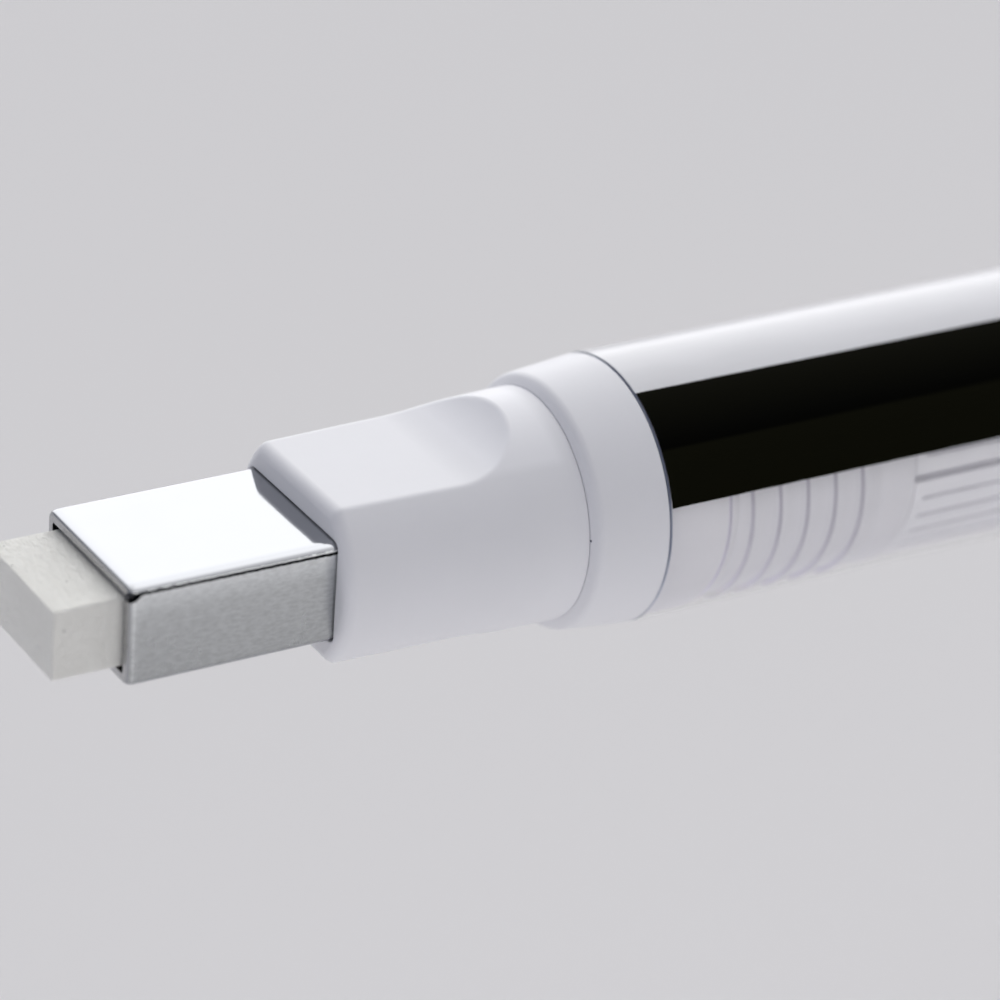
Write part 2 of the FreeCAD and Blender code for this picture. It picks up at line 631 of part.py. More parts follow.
def chuck_jaw(label, place):
    """One jaw; place keeps the upper jaw's points or mirrors them for the lower."""
    body = turned(label, [
        ("jaw_front", "0"), ("jaw_front", "jaw_head-jaw_bevel"),
        ("jaw_front+jaw_bevel", "jaw_head"), ("jaw_head_rear", "jaw_head"),
        ("jaw_head_rear", "jaw_land"), ("jaw_land_rear", "jaw_land"),
        ("jaw_land_rear+jaw_slope", "jaw_neck"), ("jaw_root_front-jaw_slope", "jaw_neck"),
        ("jaw_root_front", "jaw_root"), ("jaw_rear", "jaw_root"), ("jaw_rear", "0")])
    # everything beyond the jaw's own side of the gap goes
    sketch = outline(new_sketch(body, "XZ_Plane", label + "_split"), place([
        ("jaw_front-1", "jaw_gap"), ("jaw_front-1", "-4"),
        ("jaw_rear+1", "-4"), ("jaw_rear+1", "jaw_gap")]))
    pocket(body, sketch, label + "_split_cut", "jaw_cut", midplane=True)
    sketch = outline(new_sketch(body, "XZ_Plane", label + "_tooth"), place([
        ("jaw_front+tooth_first", "jaw_gap"), ("jaw_front+tooth_first+tooth_wide", "jaw_gap"),
        ("jaw_front+tooth_first+tooth_lean", "jaw_gap+tooth_deep")]))
    cut = pocket(body, sketch, label + "_tooth_cut", "jaw_cut", midplane=True)
    row = body.newObject("PartDesign::LinearPattern", label + "_teeth")
    row.Originals = [cut]
    row.Direction = (sketch, ["H_Axis"])
    row.setExpression("Length", "Sizes.tooth_pitch * (Sizes.tooth_count - 1)")
    bind(row, "Occurrences", "tooth_count")
    finish(body, row)


def chuck_jaws():
    chuck_jaw("chuck_jaw_upper", list)
    chuck_jaw("chuck_jaw_lower", mirrored)


def clutch_housing():
    body = turned("clutch_housing", [
        ("housing_front", "housing_bore"), ("housing_front", "housing_thick-housing_drop"),
        ("housing_front+housing_bevel", "housing_thick"),
        ("housing_rear-housing_bevel_rear", "housing_thick"),
        ("housing_rear", "housing_thick-housing_bevel_rear"), ("housing_rear", "slide_bore"),
        ("rib_rear", "slide_bore"), ("rib_rear", "rib_bore"), ("rib_front", "rib_bore"),
        ("rib_front", "housing_bore")])
    sketch = outline(new_sketch(body, "YZ_Plane", "housing_flute", "flute_front"), [
        ("flute_turn-flute_wide", "housing_thick+0.3"),
        ("flute_turn-flute_wide+flute_taper", "housing_thick-flute_deep"),
        ("flute_turn+flute_wide-flute_taper", "housing_thick-flute_deep"),
        ("flute_turn+flute_wide", "housing_thick+0.3")])
    cut = pocket(body, sketch, "housing_flute_cut", "flute_rear-flute_front", reverse=True)
    ring = body.newObject("PartDesign::PolarPattern", "housing_flutes")
    ring.Originals = [cut]
    ring.Axis = (origin_item(body, "X_Axis"), [""])
    ring.Angle = 360
    bind(ring, "Occurrences", "flute_count")
    finish(body, ring)
    # one key slot runs along the housing from its front face
    sketch = new_sketch(body, "YZ_Plane", "housing_key", "housing_front-0.5", "key_turn")
    outline(sketch, [
        ("-key_wide", "housing_thick+0.3"), ("-key_wide+key_taper", "housing_thick-key_deep"),
        ("key_wide-key_taper", "housing_thick-key_deep"), ("key_wide", "housing_thick+0.3")])
    pocket(body, sketch, "housing_key_cut", "flute_rear-housing_front+0.5", reverse=True)


def return_spring():
    body = new_body("return_spring")
    sketch = new_sketch(body, "XZ_Plane", "spring_wire_section")
    circle(sketch, "spring_front", "spring_mean", "spring_wire")
    helix(body, sketch, "spring_coil", "PartDesign::AdditiveHelix",
          "spring_pitch", "spring_rise")


def chuck_holder():
    turned("chuck_holder", [
        ("holder_front", "holder_bore"), ("holder_front", "holder_thick-holder_bevel"),
        ("holder_front+holder_bevel", "holder_thick"), ("flange_front", "holder_thick"),
        ("flange_front", "flange_thick"), ("flange_rear", "flange_thick"),
        ("flange_rear", "socket_thick"), ("socket_rear", "socket_thick"),
        ("socket_rear", "holder_bore")])


# ---------------------------------------------------------------- rear pieces
def guide_tube():
    turned("guide_tube", [
        ("flange_rear+joint_gap", "socket_bore"), ("flange_rear+joint_gap", "holder_thick"),
        ("tube_rear", "holder_thick"), ("tube_rear", "holder_bore"),
        ("socket_rear+socket_gap", "holder_bore"), ("socket_rear+socket_gap", "socket_bore")])


def tail_sleeve():
    """Rear sleeve with the boss that holds the clip."""
    def boss_edge(edge):
        box = edge.BoundBox
        return (box.ZMin > V["barrel_thick"] - 0.6 and box.ZMax > V["boss_high"] - 0.01
                and not box.XMax < V["boss_front"] + 0.1)

    body = turned("tail_sleeve", [
        ("tail_seat+tail_gap", "tail_hole"), ("tail_seat+tail_gap", "tail_spigot-tail_bevel"),
        ("tail_seat+tail_gap+tail_bevel", "tail_spigot"),
        ("barrel_rear+joint_gap", "tail_spigot"), ("barrel_rear+joint_gap", "barrel_thick"),
        ("tail_rear", "barrel_thick"), ("tail_rear", "tail_hole")])
    round_edges(body, "tail_rim", "tail_edge", ring_at("tail_rear", "barrel_thick"))
    sketch = outline(new_sketch(body, "YZ_Plane", "boss_section", "boss_front+joint_gap"), [
        ("-boss_half", "boss_low"), ("boss_half", "boss_low"),
        ("boss_half", "boss_high"), ("-boss_half", "boss_high")])
    pad(body, sketch, "boss_pad", "boss_rear-boss_front-joint_gap")
    round_edges(body, "boss_edges", "boss_round", boss_edge)
    sketch = circle(new_sketch(body, "XZ_Plane", "root_seat"), "root_x", "root_r", "root_seat")
    pocket(body, sketch, "root_seat_cut", "slot_half+slot_half", midplane=True)
    sketch = outline(new_sketch(body, "XZ_Plane", "clip_slot"), [
        ("boss_front-1", "slot_low"), ("root_x", "slot_low"),
        ("root_x", "slot_high-slot_root_drop"),
        ("root_x-slot_bend", "slot_high-slot_bend_drop"), ("boss_front-1", "slot_high")])
    pocket(body, sketch, "clip_slot_cut", "slot_half+slot_half", midplane=True)
    turn_to_clip(body)


def pocket_clip():
    """Strip with a rolled root, a lifted end and a half ball on its inner side."""
    body = new_body("pocket_clip")
    sketch = outline(new_sketch(body, "XZ_Plane", "clip_side"), [
        ("root_x", "clip_low"), ("root_x", "clip_low+clip_thick"),
        ("clip_bend", "clip_low_tip+clip_thick"),
        ("clip_end", "clip_low_tip+clip_thick+clip_lift"),
        ("clip_end-clip_end_lean", "clip_low_tip+clip_lift+clip_end_rise"),
        ("clip_bend-clip_bend_lean", "clip_low_tip")])
    pad(body, sketch, "clip_arm", "clip_half+clip_half", midplane=True)
    sketch = circle(new_sketch(body, "XZ_Plane", "clip_root"), "root_x", "root_r", "root_roll")
    pad(body, sketch, "clip_root_roll", "clip_half+clip_half", midplane=True)
    # both sides narrow towards the end: near is -Y, far is +Y before the swing
    taper = [("root_x-clip_taper", "clip_half"), ("clip_end+clip_tip_long", "clip_tip_half"),
             ("clip_end-1", "clip_tip_half-clip_tip_cut"), ("clip_end-1", "4"),
             ("root_x-clip_taper", "4")]
    for name, points in (("clip_taper_near", mirrored(taper)), ("clip_taper_far", taper)):
        sketch = outline(new_sketch(body, "XY_Plane", name), points)
        pocket(body, sketch, name + "_cut", "cut_across", midplane=True)
    ball = body.newObject("PartDesign::AdditiveSphere", "clip_ball")
    bind(ball, "Radius", "ball_thick")
    ball.Angle1 = -90
    ball.Angle2 = 0
    ball.AttachmentSupport = [(origin_item(body, "XY_Plane"), "")]
    ball.MapMode = "FlatFace"
    bind(ball, "AttachmentOffset.Base.x", "ball_x")
    bind(ball, "AttachmentOffset.Base.z", "ball_r")
    finish(body, ball)
    turn_to_clip(body)


def knock_button():
    body = turned("knock_button", [
        ("button_front", "button_bore+button_bevel"),
        ("button_front", "button_thick-button_bevel"),
        ("button_front+button_bevel", "button_thick"), ("button_end", "button_thick"),
        ("button_end", "0"), ("button_floor", "0"), ("button_floor", "button_core"),
        ("button_stop", "button_core"), ("button_stop", "button_bore"),
        ("button_front+button_bevel", "button_bore")])
    round_edges(body, "button_rim", "button_crown", ring_at("button_end", "button_thick"))


# ---------------------------------------------------------------- checks and files
def export_parts():
    """Write one STEP file a body, once every object is sound."""
    doc.recompute()
    bad = [item.Name + " " + str(item.State) for item in doc.Objects
           if "Invalid" in item.State or "Error" in item.State]
    bodies = [item for item in doc.Objects if item.TypeId == "PartDesign::Body"]
    for body in bodies:
        shape = body.Shape
        if shape.isNull() or not shape.isValid() or len(shape.Solids) != 1:
            bad.append(body.Label + ": shape is null, not valid or not one solid")
    if bad:
        raise RuntimeError("; ".join(bad))
    os.makedirs("parts", exist_ok=True)
    for body in bodies:
        body.Shape.exportStep("parts/" + body.Label + ".step")


doc = FreeCAD.newDocument("eraser_holder")
fill_sheet()
for build in (eraser_stick, tip_sleeve, nose_cone, eraser_retainer, front_collar, barrel,
              clutch_ring, chuck_jaws, clutch_housing, return_spring, chuck_holder,
              guide_tube, tail_sleeve, pocket_clip, knock_button):
    build()
export_parts()
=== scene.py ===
"""Push-button eraser pen, lying along +X with its axis on y = z = 0.

The eraser tip is at the front (low X) and the push button at the rear (high X). The wide faces of
the eraser face up and down (+Z, -Z). The camera looks from the front, the -Y side and above.
Piece dimensions are in millimetres; materials, lights and camera are in metres unless MM is used.
"""
import itertools
import math

import bmesh
import bpy
import numpy as np
from mathutils import Matrix, Vector


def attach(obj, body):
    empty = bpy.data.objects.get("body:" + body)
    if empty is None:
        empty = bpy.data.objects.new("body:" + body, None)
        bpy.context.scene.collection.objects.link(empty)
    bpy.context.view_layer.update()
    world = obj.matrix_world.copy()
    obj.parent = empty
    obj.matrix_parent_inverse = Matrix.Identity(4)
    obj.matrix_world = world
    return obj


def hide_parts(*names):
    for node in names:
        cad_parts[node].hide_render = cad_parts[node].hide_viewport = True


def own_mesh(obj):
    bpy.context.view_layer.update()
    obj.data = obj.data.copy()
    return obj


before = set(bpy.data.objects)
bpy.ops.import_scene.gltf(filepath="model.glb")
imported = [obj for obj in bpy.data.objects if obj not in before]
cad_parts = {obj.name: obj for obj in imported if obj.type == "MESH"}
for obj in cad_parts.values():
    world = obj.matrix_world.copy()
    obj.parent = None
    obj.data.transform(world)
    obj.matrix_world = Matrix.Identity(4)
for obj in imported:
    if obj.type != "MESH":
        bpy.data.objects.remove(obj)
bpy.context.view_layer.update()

MM = 0.001
QUARTER = math.pi / 2
SEGMENTS = 384
ANGLES = np.linspace(0, 2 * math.pi, SEGMENTS, endpoint=False)  # from +Z towards +Y

# Shared by more than one piece, in millimetres
BARREL_RADIUS = 4.66
BARREL_FRONT = 19.17
COLLAR_LIP_RADIUS = 4.055
SPIGOT_RADIUS = 3.90


# ------------------------------------------------------------------ mesh helpers
def smooth_noise(points, seed, octaves):
    """Value noise in -1..1 at an (n, 3) array of points, the same every run."""
    total = np.zeros(len(points))
    amplitude, amplitude_sum = 1.0, 0.0
    points = np.array(points, float)
    hash_steps = (374761393, 668265263, 1274126177)
    for octave in range(octaves):
        cell = np.floor(points).astype(np.int64)
        part = points - cell
        blend = part * part * (3 - 2 * part)
        value = np.zeros(len(points))
        for corner in itertools.product((0, 1), repeat=3):
            code = ((cell + corner) * hash_steps).sum(1) + (seed + octave) * 974634777
            code = (code ^ (code >> 13)) * 1103515245
            code = (code ^ (code >> 16)) & 0xFFFFFF
            level = code / float(0xFFFFFF) * 2 - 1
            weight = np.where(corner, blend, 1 - blend)
            value += level * weight[:, 0] * weight[:, 1] * weight[:, 2]
        total += value * amplitude
        amplitude_sum += amplitude
        amplitude *= 0.5
        points = points * 2.03 + 11.7
    return total / amplitude_sum


def add_object(name, data):
    obj = bpy.data.objects.new(name, data)
    bpy.context.scene.collection.objects.link(obj)
    return obj


def make_object(name, verts, faces, body, materials, sharp=35.0):
    """Mesh object from vertices in millimetres; edges steeper than `sharp` degrees stay crisp."""
    mesh = bpy.data.meshes.new(name)
    scaled = np.asarray(verts, float) * MM
    mesh.from_pydata([tuple(point) for point in scaled.tolist()], [], faces)
    mesh.validate()
    mesh.update()
    bm = bmesh.new()
    bm.from_mesh(mesh)
    bmesh.ops.recalc_face_normals(bm, faces=bm.faces)
    bm.to_mesh(mesh)
    bm.free()
    for material in materials:
        mesh.materials.append(material)
    mesh.polygons.foreach_set("use_smooth", [True] * len(mesh.polygons))
    mesh.set_sharp_from_angle(angle=math.radians(sharp))
    obj = add_object(name, mesh)
    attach(obj, body)
    return obj


def grid_faces(rows, columns, wrap=True, closed=False, first=0):
    """Quads over rows of vertices. wrap joins each row's ends, closed joins last row to first."""
    faces = []
    for i in range(rows if closed else rows - 1):
        a = first + i * columns
        b = first + (i + 1) % rows * columns
        for j in range(columns if wrap else columns - 1):
            k = (j + 1) % columns
            faces.append((a + j, a + k, b + k, b + j))
    return faces


def end_caps(rings, sides):
    """One flat face on the first ring and one on the last."""
    last = (rings - 1) * sides
    return [tuple(range(sides))[::-1], tuple(last + k for k in range(sides))]


def arc(center_y, center_z, radius, start, sweep, steps):
    """Points of an arc in the YZ plane, its angles from +Z towards +Y."""
    angles = [start + sweep * k / steps for k in range(steps + 1)]
    return [(center_y + radius * math.sin(a), center_z + radius * math.cos(a)) for a in angles]


def turned_mesh(xs, radii):
    """Closed stack of rings round the X axis, one row per ring."""
    xs, radii, angles = np.broadcast_arrays(xs, radii, ANGLES)
    verts = np.stack([xs, radii * np.sin(angles), radii * np.cos(angles)], -1).reshape(-1, 3)
    return verts, grid_faces(*xs.shape, closed=True)


def round_corners(points, steps):
    """Turn (x, radius, rounding) corners into a profile with small arcs and support points."""
    profile = []
    for i, (x, radius, rounding) in enumerate(points):
        corner = np.array([x, radius])
        if rounding <= 0:
            profile.append(corner)
            continue
        before = np.array(points[i - 1][:2]) - corner
        after = np.array(points[(i + 1) % len(points)][:2]) - corner
        length_before, length_after = np.linalg.norm(before), np.linalg.norm(after)
        before, after = before / length_before, after / length_after
        half_angle = math.acos(float(before @ after)) / 2
        reach = min(rounding / math.tan(half_angle), 0.48 * length_before, 0.48 * length_after)
        rounding = reach * math.tan(half_angle)
        arc_start, arc_end = corner + before * reach, corner + after * reach
        bisector = (before + after) / np.linalg.norm(before + after)
        center = corner + bisector * rounding / math.sin(half_angle)
        start = math.atan2(*(arc_start - center)[::-1])
        end = math.atan2(*(arc_end - center)[::-1])
        sweep = (end - start + math.pi) % (2 * math.pi) - math.pi
        profile.append(arc_start + before * min(reach * 0.6, length_before * 0.04))
        for k in range(steps + 1):
            angle = start + sweep * k / steps
            profile.append(center + rounding * np.array([math.cos(angle), math.sin(angle)]))
        profile.append(arc_end + after * min(reach * 0.6, length_after * 0.04))
    return np.array(profile)


def lathe(name, points, body, materials, steps, sharp=35.0):
    """Turned piece from a closed profile of (x, radius, rounding) corners."""
    profile = round_corners(points, steps)
    verts, faces = turned_mesh(profile[:, :1], profile[:, 1:])
    return make_object(name, verts, faces, body, materials, sharp)


def assign_slots(obj, slot_at):
    """Give each face the material slot slot_at(x, radius) for its centre, in millimetres."""
    for face in obj.data.polygons:
        x, y, z = face.center
        face.material_index = slot_at(x / MM, math.hypot(y, z) / MM)


# ------------------------------------------------------------------ shader helpers
def rgba(color):
    """Opaque colour from a grey level or an RGB triple."""
    if isinstance(color, (int, float)):
        color = (color,) * 3
    return (*color, 1)


def scaled_color(color, factor):
    return tuple(channel * factor for channel in color)


class Shader:
    """Fills one node tree. Methods take and return sockets."""

    def __init__(self, tree):
        self.tree = tree
        tree.nodes.clear()

    def feed(self, socket, value):
        """Link a socket, or set a plain value."""
        if isinstance(value, bpy.types.NodeSocket):
            self.tree.links.new(value, socket)
        else:
            socket.default_value = value

    def node(self, kind, inputs=None, **settings):
        made = self.tree.nodes.new("ShaderNode" + kind)
        for key, value in settings.items():
            setattr(made, key, value)
        for key, value in (inputs or {}).items():
            self.feed(made.inputs[key], value)
        return made

    def coords(self, scale=(1, 1, 1)):
        source = self.node("TexCoord").outputs["Object"]
        return self.node("Mapping", {"Scale": scale, "Vector": source}).outputs[0]

    def split(self, vector):
        return self.node("SeparateXYZ", {0: vector}).outputs

    def noise(self, vector, scale, detail=4.0, rough=0.5, distortion=0.0):
        return self.node("TexNoise", {
            "Scale": scale, "Detail": detail, "Roughness": rough, "Distortion": distortion,
            "Vector": vector}).outputs[0]

    def ramp(self, factor, stops, interpolation="LINEAR"):
        """Colour ramp through (position, colour) stops."""
        made = self.node("ValToRGB", {0: factor})
        made.color_ramp.interpolation = interpolation
        elements = made.color_ramp.elements
        while len(elements) > 1:
            elements.remove(elements[-1])
        elements[0].position, elements[0].color = stops[0][0], rgba(stops[0][1])
        for position, color in stops[1:]:
            elements.new(position).color = rgba(color)
        return made.outputs[0]

    def remap(self, value, low, high, to_low, to_high):
        return self.node("MapRange", {0: value, 1: low, 2: high, 3: to_low, 4: to_high}).outputs[0]

    def gradient(self, value, low, high, stops, interpolation="LINEAR"):
        """Colour ramp over a value's low..high range."""
        return self.ramp(self.remap(value, low, high, 0, 1), stops, interpolation)

    def mix(self, a, b, blend="MIX", factor=1.0, clamp=False):
        return self.node("Mix", {0: factor, 6: a, 7: b}, data_type="RGBA", blend_type=blend,
                         clamp_result=clamp).outputs[2]

    def specks(self, vector, scale, share, edge, radius, fade_radius):
        """Mask of small round specks in a share of the cells; edge softens that choice."""
        cells = self.node("TexVoronoi", {"Scale": scale, "Vector": vector}).outputs
        chance = self.node("TexWhiteNoise", {"Vector": cells["Position"]}).outputs["Value"]
        few = self.ramp(chance, [(1 - share, 0), (1 - share + edge, 1)])
        near = self.ramp(cells["Distance"], [(radius, 1), (fade_radius, 0)])
        return self.node("Math", {0: few, 1: near}, operation="MULTIPLY").outputs[0]


class Material(Shader):
    """A material with one Principled surface."""

    def __init__(self, name):
        self.material = bpy.data.materials.new(name)
        self.material.use_nodes = True
        super().__init__(self.material.node_tree)
        output = self.node("OutputMaterial")
        self.surface = self.node("BsdfPrincipled")
        self.feed(output.inputs[0], self.surface.outputs[0])
        self.relief = None

    def set(self, inputs):
        for key, value in inputs.items():
            self.feed(self.surface.inputs[key], value)

    def bump(self, height, strength, distance):
        """Add a bump on top of those already made."""
        inputs = {"Strength": strength, "Distance": distance, "Height": height}
        if self.relief:
            inputs["Normal"] = self.relief
        self.relief = self.node("Bump", inputs).outputs[0]
        self.set({"Normal": self.relief})


# ------------------------------------------------------------------ materials
def plastic(name, tint=(0.874, 0.872, 0.904), rough=0.36, grain=1.0, under_light=0.0, under_light_mid=0.3,
            front=0.0, scoop_light=0.0):
    """Moulded plastic. grain scales the bumps; the rest brighten one region each.

    under_light: painted light on the underside, with mid as its share halfway up.
    front: painted light on the front of the spigot.
    scoop: painted light on the curved run-out of the nose's upper flat.
    """
    m = Material(name)
    vector = m.coords()
    patches = m.noise(vector, scale=260, detail=3.0)
    fine = m.noise(vector, scale=7000, detail=2.0)
    color = m.ramp(patches, [(0.3, scaled_color(tint, 0.975)), (0.7, tint)])
    # Painted light: the underside brighter
    if under_light:
        z = m.split(vector)["Z"]
        tone = m.gradient(z, -0.0040, -0.0006, [(0.0, 1 + under_light), (0.5, 1 + under_light * under_light_mid), (1.0, 1)])
        color = m.mix(color, tone, blend="MULTIPLY", clamp=True)
    # Painted light: brighter towards the front of the spigot
    if front:
        x = m.split(vector)["X"]
        tone = m.gradient(x, 0.0216, 0.0256, [(0.0, 1 + front), (0.4, 1 + front * 0.7), (0.9, 1)])
        color = m.mix(color, tone, blend="MULTIPLY", clamp=True)
    # Painted light: the scooped run-out of the upper flat brighter
    if scoop_light:
        place = m.split(vector)
        along = m.gradient(place["X"], 0.0120, 0.0164,
                           [(0.03, 0), (0.30, 1), (0.84, 1), (0.93, 0)])
        high = m.gradient(place["Z"], 0.0028, 0.0036, [(0.05, 0), (0.35, 1)])
        region = m.mix(along, high, blend="MULTIPLY", clamp=True)
        tone = m.ramp(region, [(0.0, 1), (1.0, 1 + scoop_light)])
        color = m.mix(color, tone, blend="MULTIPLY", clamp=True)
    m.set({
        "Base Color": color,
        "Roughness": m.remap(patches, 0.2, 0.8, rough - 0.05, rough + 0.06),
        "Specular IOR Level": 0.21})
    m.bump(fine, strength=0.10 * grain, distance=0.00002)
    m.bump(m.noise(vector, scale=1300, detail=2.0), strength=0.06 * grain, distance=0.00008)
    return m.material


def eraser_vinyl(name):
    """Matt off-white vinyl with dark specks and a crinkled skin."""
    m = Material(name)
    vector = m.coords()
    base = m.ramp(m.noise(vector, scale=420),
                  [(0.30, (0.930, 0.920, 0.872)), (0.72, (0.980, 0.970, 0.922))])
    specks = m.specks(vector, scale=2100, share=0.20, edge=0.01, radius=0.04, fade_radius=0.10)
    m.set({
        "Base Color": m.mix(base, rgba((0.30, 0.29, 0.27)), factor=specks),
        "Roughness": 0.62,
        "Specular IOR Level": 0.30})
    m.bump(m.noise(vector, scale=5200, detail=6.0, rough=0.62), strength=0.40, distance=0.00005)
    crinkle = m.noise(m.coords((1.0, 0.42, 0.8)), scale=5200, detail=5.0, rough=0.65,
                      distortion=1.2)
    m.bump(crinkle, strength=0.80, distance=0.00013)
    m.bump(specks, strength=-0.5, distance=0.00006)
    return m.material


def metal(name, tint, rough, mottled, brushed=None, wave=0.0, spots=0.0, grain=0.0, fleck=0.0,
          fade=False):
    """Metal. mottled: contrast of broad patches. brushed: coordinate scale of the brush marks.

    wave and grain: strengths of the broad and fine bumps. spots: share of cells with a dark
    spot. fleck: contrast of fine flecks. fade: painted light and shade on the sleeve's narrow side.
    """
    m = Material(name)
    vector = m.coords()
    patches = m.noise(vector, scale=520, detail=5.0, rough=0.6)
    dark = scaled_color(tint, 1 - 0.16 * mottled)
    light = tuple(min(1, channel) for channel in scaled_color(tint, 1 + 0.12 * mottled))
    color = m.ramp(patches, [(0.3, dark), (0.7, light)])
    if fleck:
        tiny = m.noise(m.coords((0.35, 1, 1)), scale=9000, detail=3.0, rough=0.7)
        tone = m.ramp(tiny, [(0.36, 1 - fleck), (0.64, 1 + fleck * 0.6)])
        color = m.mix(color, tone, blend="MULTIPLY")
    if fade:
        place = m.split(vector)
        # Painted light and shade: brighter towards the seam above, duller towards the lower bend
        tone = m.gradient(place["Z"], -0.0018, 0.0016, [
            (0.0, 0.80), (0.06, 0.90), (0.5, 0.97), (0.72, 1.03), (0.86, 1.25), (0.95, 1.42),
            (1.0, 1.62)])
        color = m.mix(color, tone, blend="MULTIPLY")
        # Painted highlight: a bright line just behind the turned-in mouth
        line = m.gradient(place["X"], 0.0, 0.0005, [
            (0.10, 0.9), (0.24, 1.05), (0.31, 1.50), (0.40, 1.12), (0.75, 1.0)])
        color = m.mix(color, line, blend="MULTIPLY")
    if spots:
        specks = m.specks(vector, scale=1100, share=spots, edge=0.005, radius=0.06,
                          fade_radius=0.16)
        color = m.mix(color, rgba(scaled_color(tint, 0.35)), factor=specks)
    m.set({
        "Base Color": color,
        "Metallic": 1.0,
        "Roughness": m.remap(patches, 0.25, 0.75, max(rough * 0.8, 0.02), rough * 1.2)})
    if brushed:
        marks = m.noise(m.coords(brushed), scale=900, detail=6.0, rough=0.6)
        m.bump(marks, strength=0.25, distance=0.00002)
    if wave:
        m.bump(m.noise(vector, scale=350, detail=2.0), strength=wave, distance=0.0001)
    if grain:
        grains = m.noise(m.coords((0.5, 1, 1)), scale=5200, rough=0.6)
        m.bump(grains, strength=grain, distance=0.00003)
    return m.material


def print_film(name, tint, specular, rough, painted_reflection=None):
    """Printed ink. With pale, its lower edge and its upper part go towards that colour, a painted
    reflection on the glossy ink.
    """
    m = Material(name)
    vector = m.coords((0.25, 1, 1))
    patches = m.noise(vector, scale=500)
    color = m.ramp(patches, [(0.3, scaled_color(tint, 0.9)), (0.7, tint)])
    # Painted reflection: lighter at the lower edge and over the upper part
    if painted_reflection:
        share = m.gradient(m.split(m.coords())["Z"], 0.0, 0.0050,
                           [(0.602, 1), (0.618, 0.0), (0.66, 0.02), (0.86, 0.75)])
        color = m.mix(color, rgba(painted_reflection), factor=share)
    m.set({
        "Base Color": color,
        "Roughness": m.remap(patches, 0.2, 0.8, rough * 0.9, rough * 1.15),
        "Specular IOR Level": specular})
    m.bump(m.noise(vector, scale=2500, detail=2.0), strength=0.02, distance=0.00002)
    return m.material


def clear_plastic(name, ior):
    m = Material(name)
    vector = m.coords()
    patches = m.noise(vector, scale=300, detail=3.0)
    m.set({
        "Base Color": m.ramp(patches, [(0.3, (0.996, 0.996, 0.999)), (0.7, 1.0)]),
        "Roughness": m.remap(m.noise(vector, scale=2200), 0.35, 0.75, 0.010, 0.045),
        "Transmission Weight": 1.0,
        "IOR": ior})
    m.bump(m.noise(vector, scale=900, detail=2.0), strength=0.015, distance=0.00003)
    return m.material


def cut_edge(name):
    """Cut end of the clear tube: painted blue-grey shade, paler towards its underside as painted
    light.
    """
    m = Material(name)
    vector = m.coords()
    color = m.ramp(m.noise(vector, scale=900, detail=3.0),
                   [(0.3, (0.20, 0.225, 0.31)), (0.7, (0.26, 0.285, 0.37))])
    # Painted light: paler towards the underside
    tone = m.gradient(m.split(vector)["Z"], -0.0034, 0.0006,
                      [(0.0, (2.5, 2.35, 2.05)), (0.45, (2.1, 2.0, 1.8)), (0.85, 1.0)])
    m.set({
        "Base Color": m.mix(color, tone, blend="MULTIPLY", clamp=True),
        "Roughness": 0.3,
        "Transmission Weight": 0.25,
        "IOR": 1.1})
    return m.material


def floor_paper(name):
    m = Material(name)
    m.set({
        "Base Color": m.ramp(m.noise(m.coords(), scale=3.0, detail=3.0),
                             [(0.3, (0.755, 0.743, 0.749)), (0.7, (0.760, 0.748, 0.754))]),
        "Roughness": 0.9,
        "Specular IOR Level": 0.0})
    return m.material


WHITE = plastic("white_plastic_mat")
# Painted light on the nose's scooped run-out
NOSE = plastic("nose_plastic_mat", scoop_light=0.075)
# Painted light on the housing's underside
HOUSING = plastic("housing_plastic_mat", tint=(0.80, 0.795, 0.83), rough=0.42, under_light=0.18)
BUTTON = plastic("button_plastic_mat", tint=(0.86, 0.86, 0.885), rough=0.28, grain=0.5)
ERASER = eraser_vinyl("eraser_vinyl_mat")
BRIGHT = metal("sleeve_bright_mat", tint=(0.414, 0.422, 0.444), rough=0.070, mottled=0.05,
               wave=0.030, grain=0.045)
# The satin side carries painted light and shade along its height and a painted highlight behind the
# mouth
SATIN = metal("sleeve_satin_mat", tint=(0.578, 0.592, 0.594), rough=0.30, mottled=0.12,
              spots=0.05, grain=0.10, fleck=0.12, fade=True)
EDGE = metal("sleeve_edge_mat", tint=(0.52, 0.52, 0.53), rough=0.30, mottled=0.5, wave=0.05,
             grain=0.15, fleck=0.2)
# Near-black metal for the sheet's unpolished inner face, darkened as painted shade so the seam and
# the tube's inside read dark
INSIDE_SHADE = metal("sleeve_inside_shade_mat", tint=(0.030, 0.030, 0.033), rough=0.55, mottled=0.6)
# The black ink carries a painted reflection at its lower edge and upper part
BLACK_PRINT = print_film("black_print_mat", tint=(0.0004, 0.0005, 0.0001), specular=0.008,
                         rough=0.14, painted_reflection=(0.0056, 0.0056, 0.0026))
WHITE_PRINT = print_film("white_print_mat", tint=(0.78, 0.78, 0.81), specular=0.35, rough=0.16)
CLEAR = clear_plastic("clear_plastic_mat", ior=1.080)
BORE = clear_plastic("clear_bore_mat", ior=1.0)
# Painted shade of a small gap at the nose-collar seam
GAP_SHADE = plastic("collar_gap_shade_mat", tint=(0.10, 0.10, 0.14), rough=0.60)
# Thread flank plastic: a darker copy of the spigot plastic as painted shade on the steep flanks and
# in the collar groove, with painted light on its underside and towards the front
FLANK_SHADING = plastic("thread_flank_shading_mat", tint=(0.60, 0.585, 0.650), rough=0.50, under_light=0.64, under_light_mid=0.36,
                front=0.13)
CUT = cut_edge("clear_cut_mat")
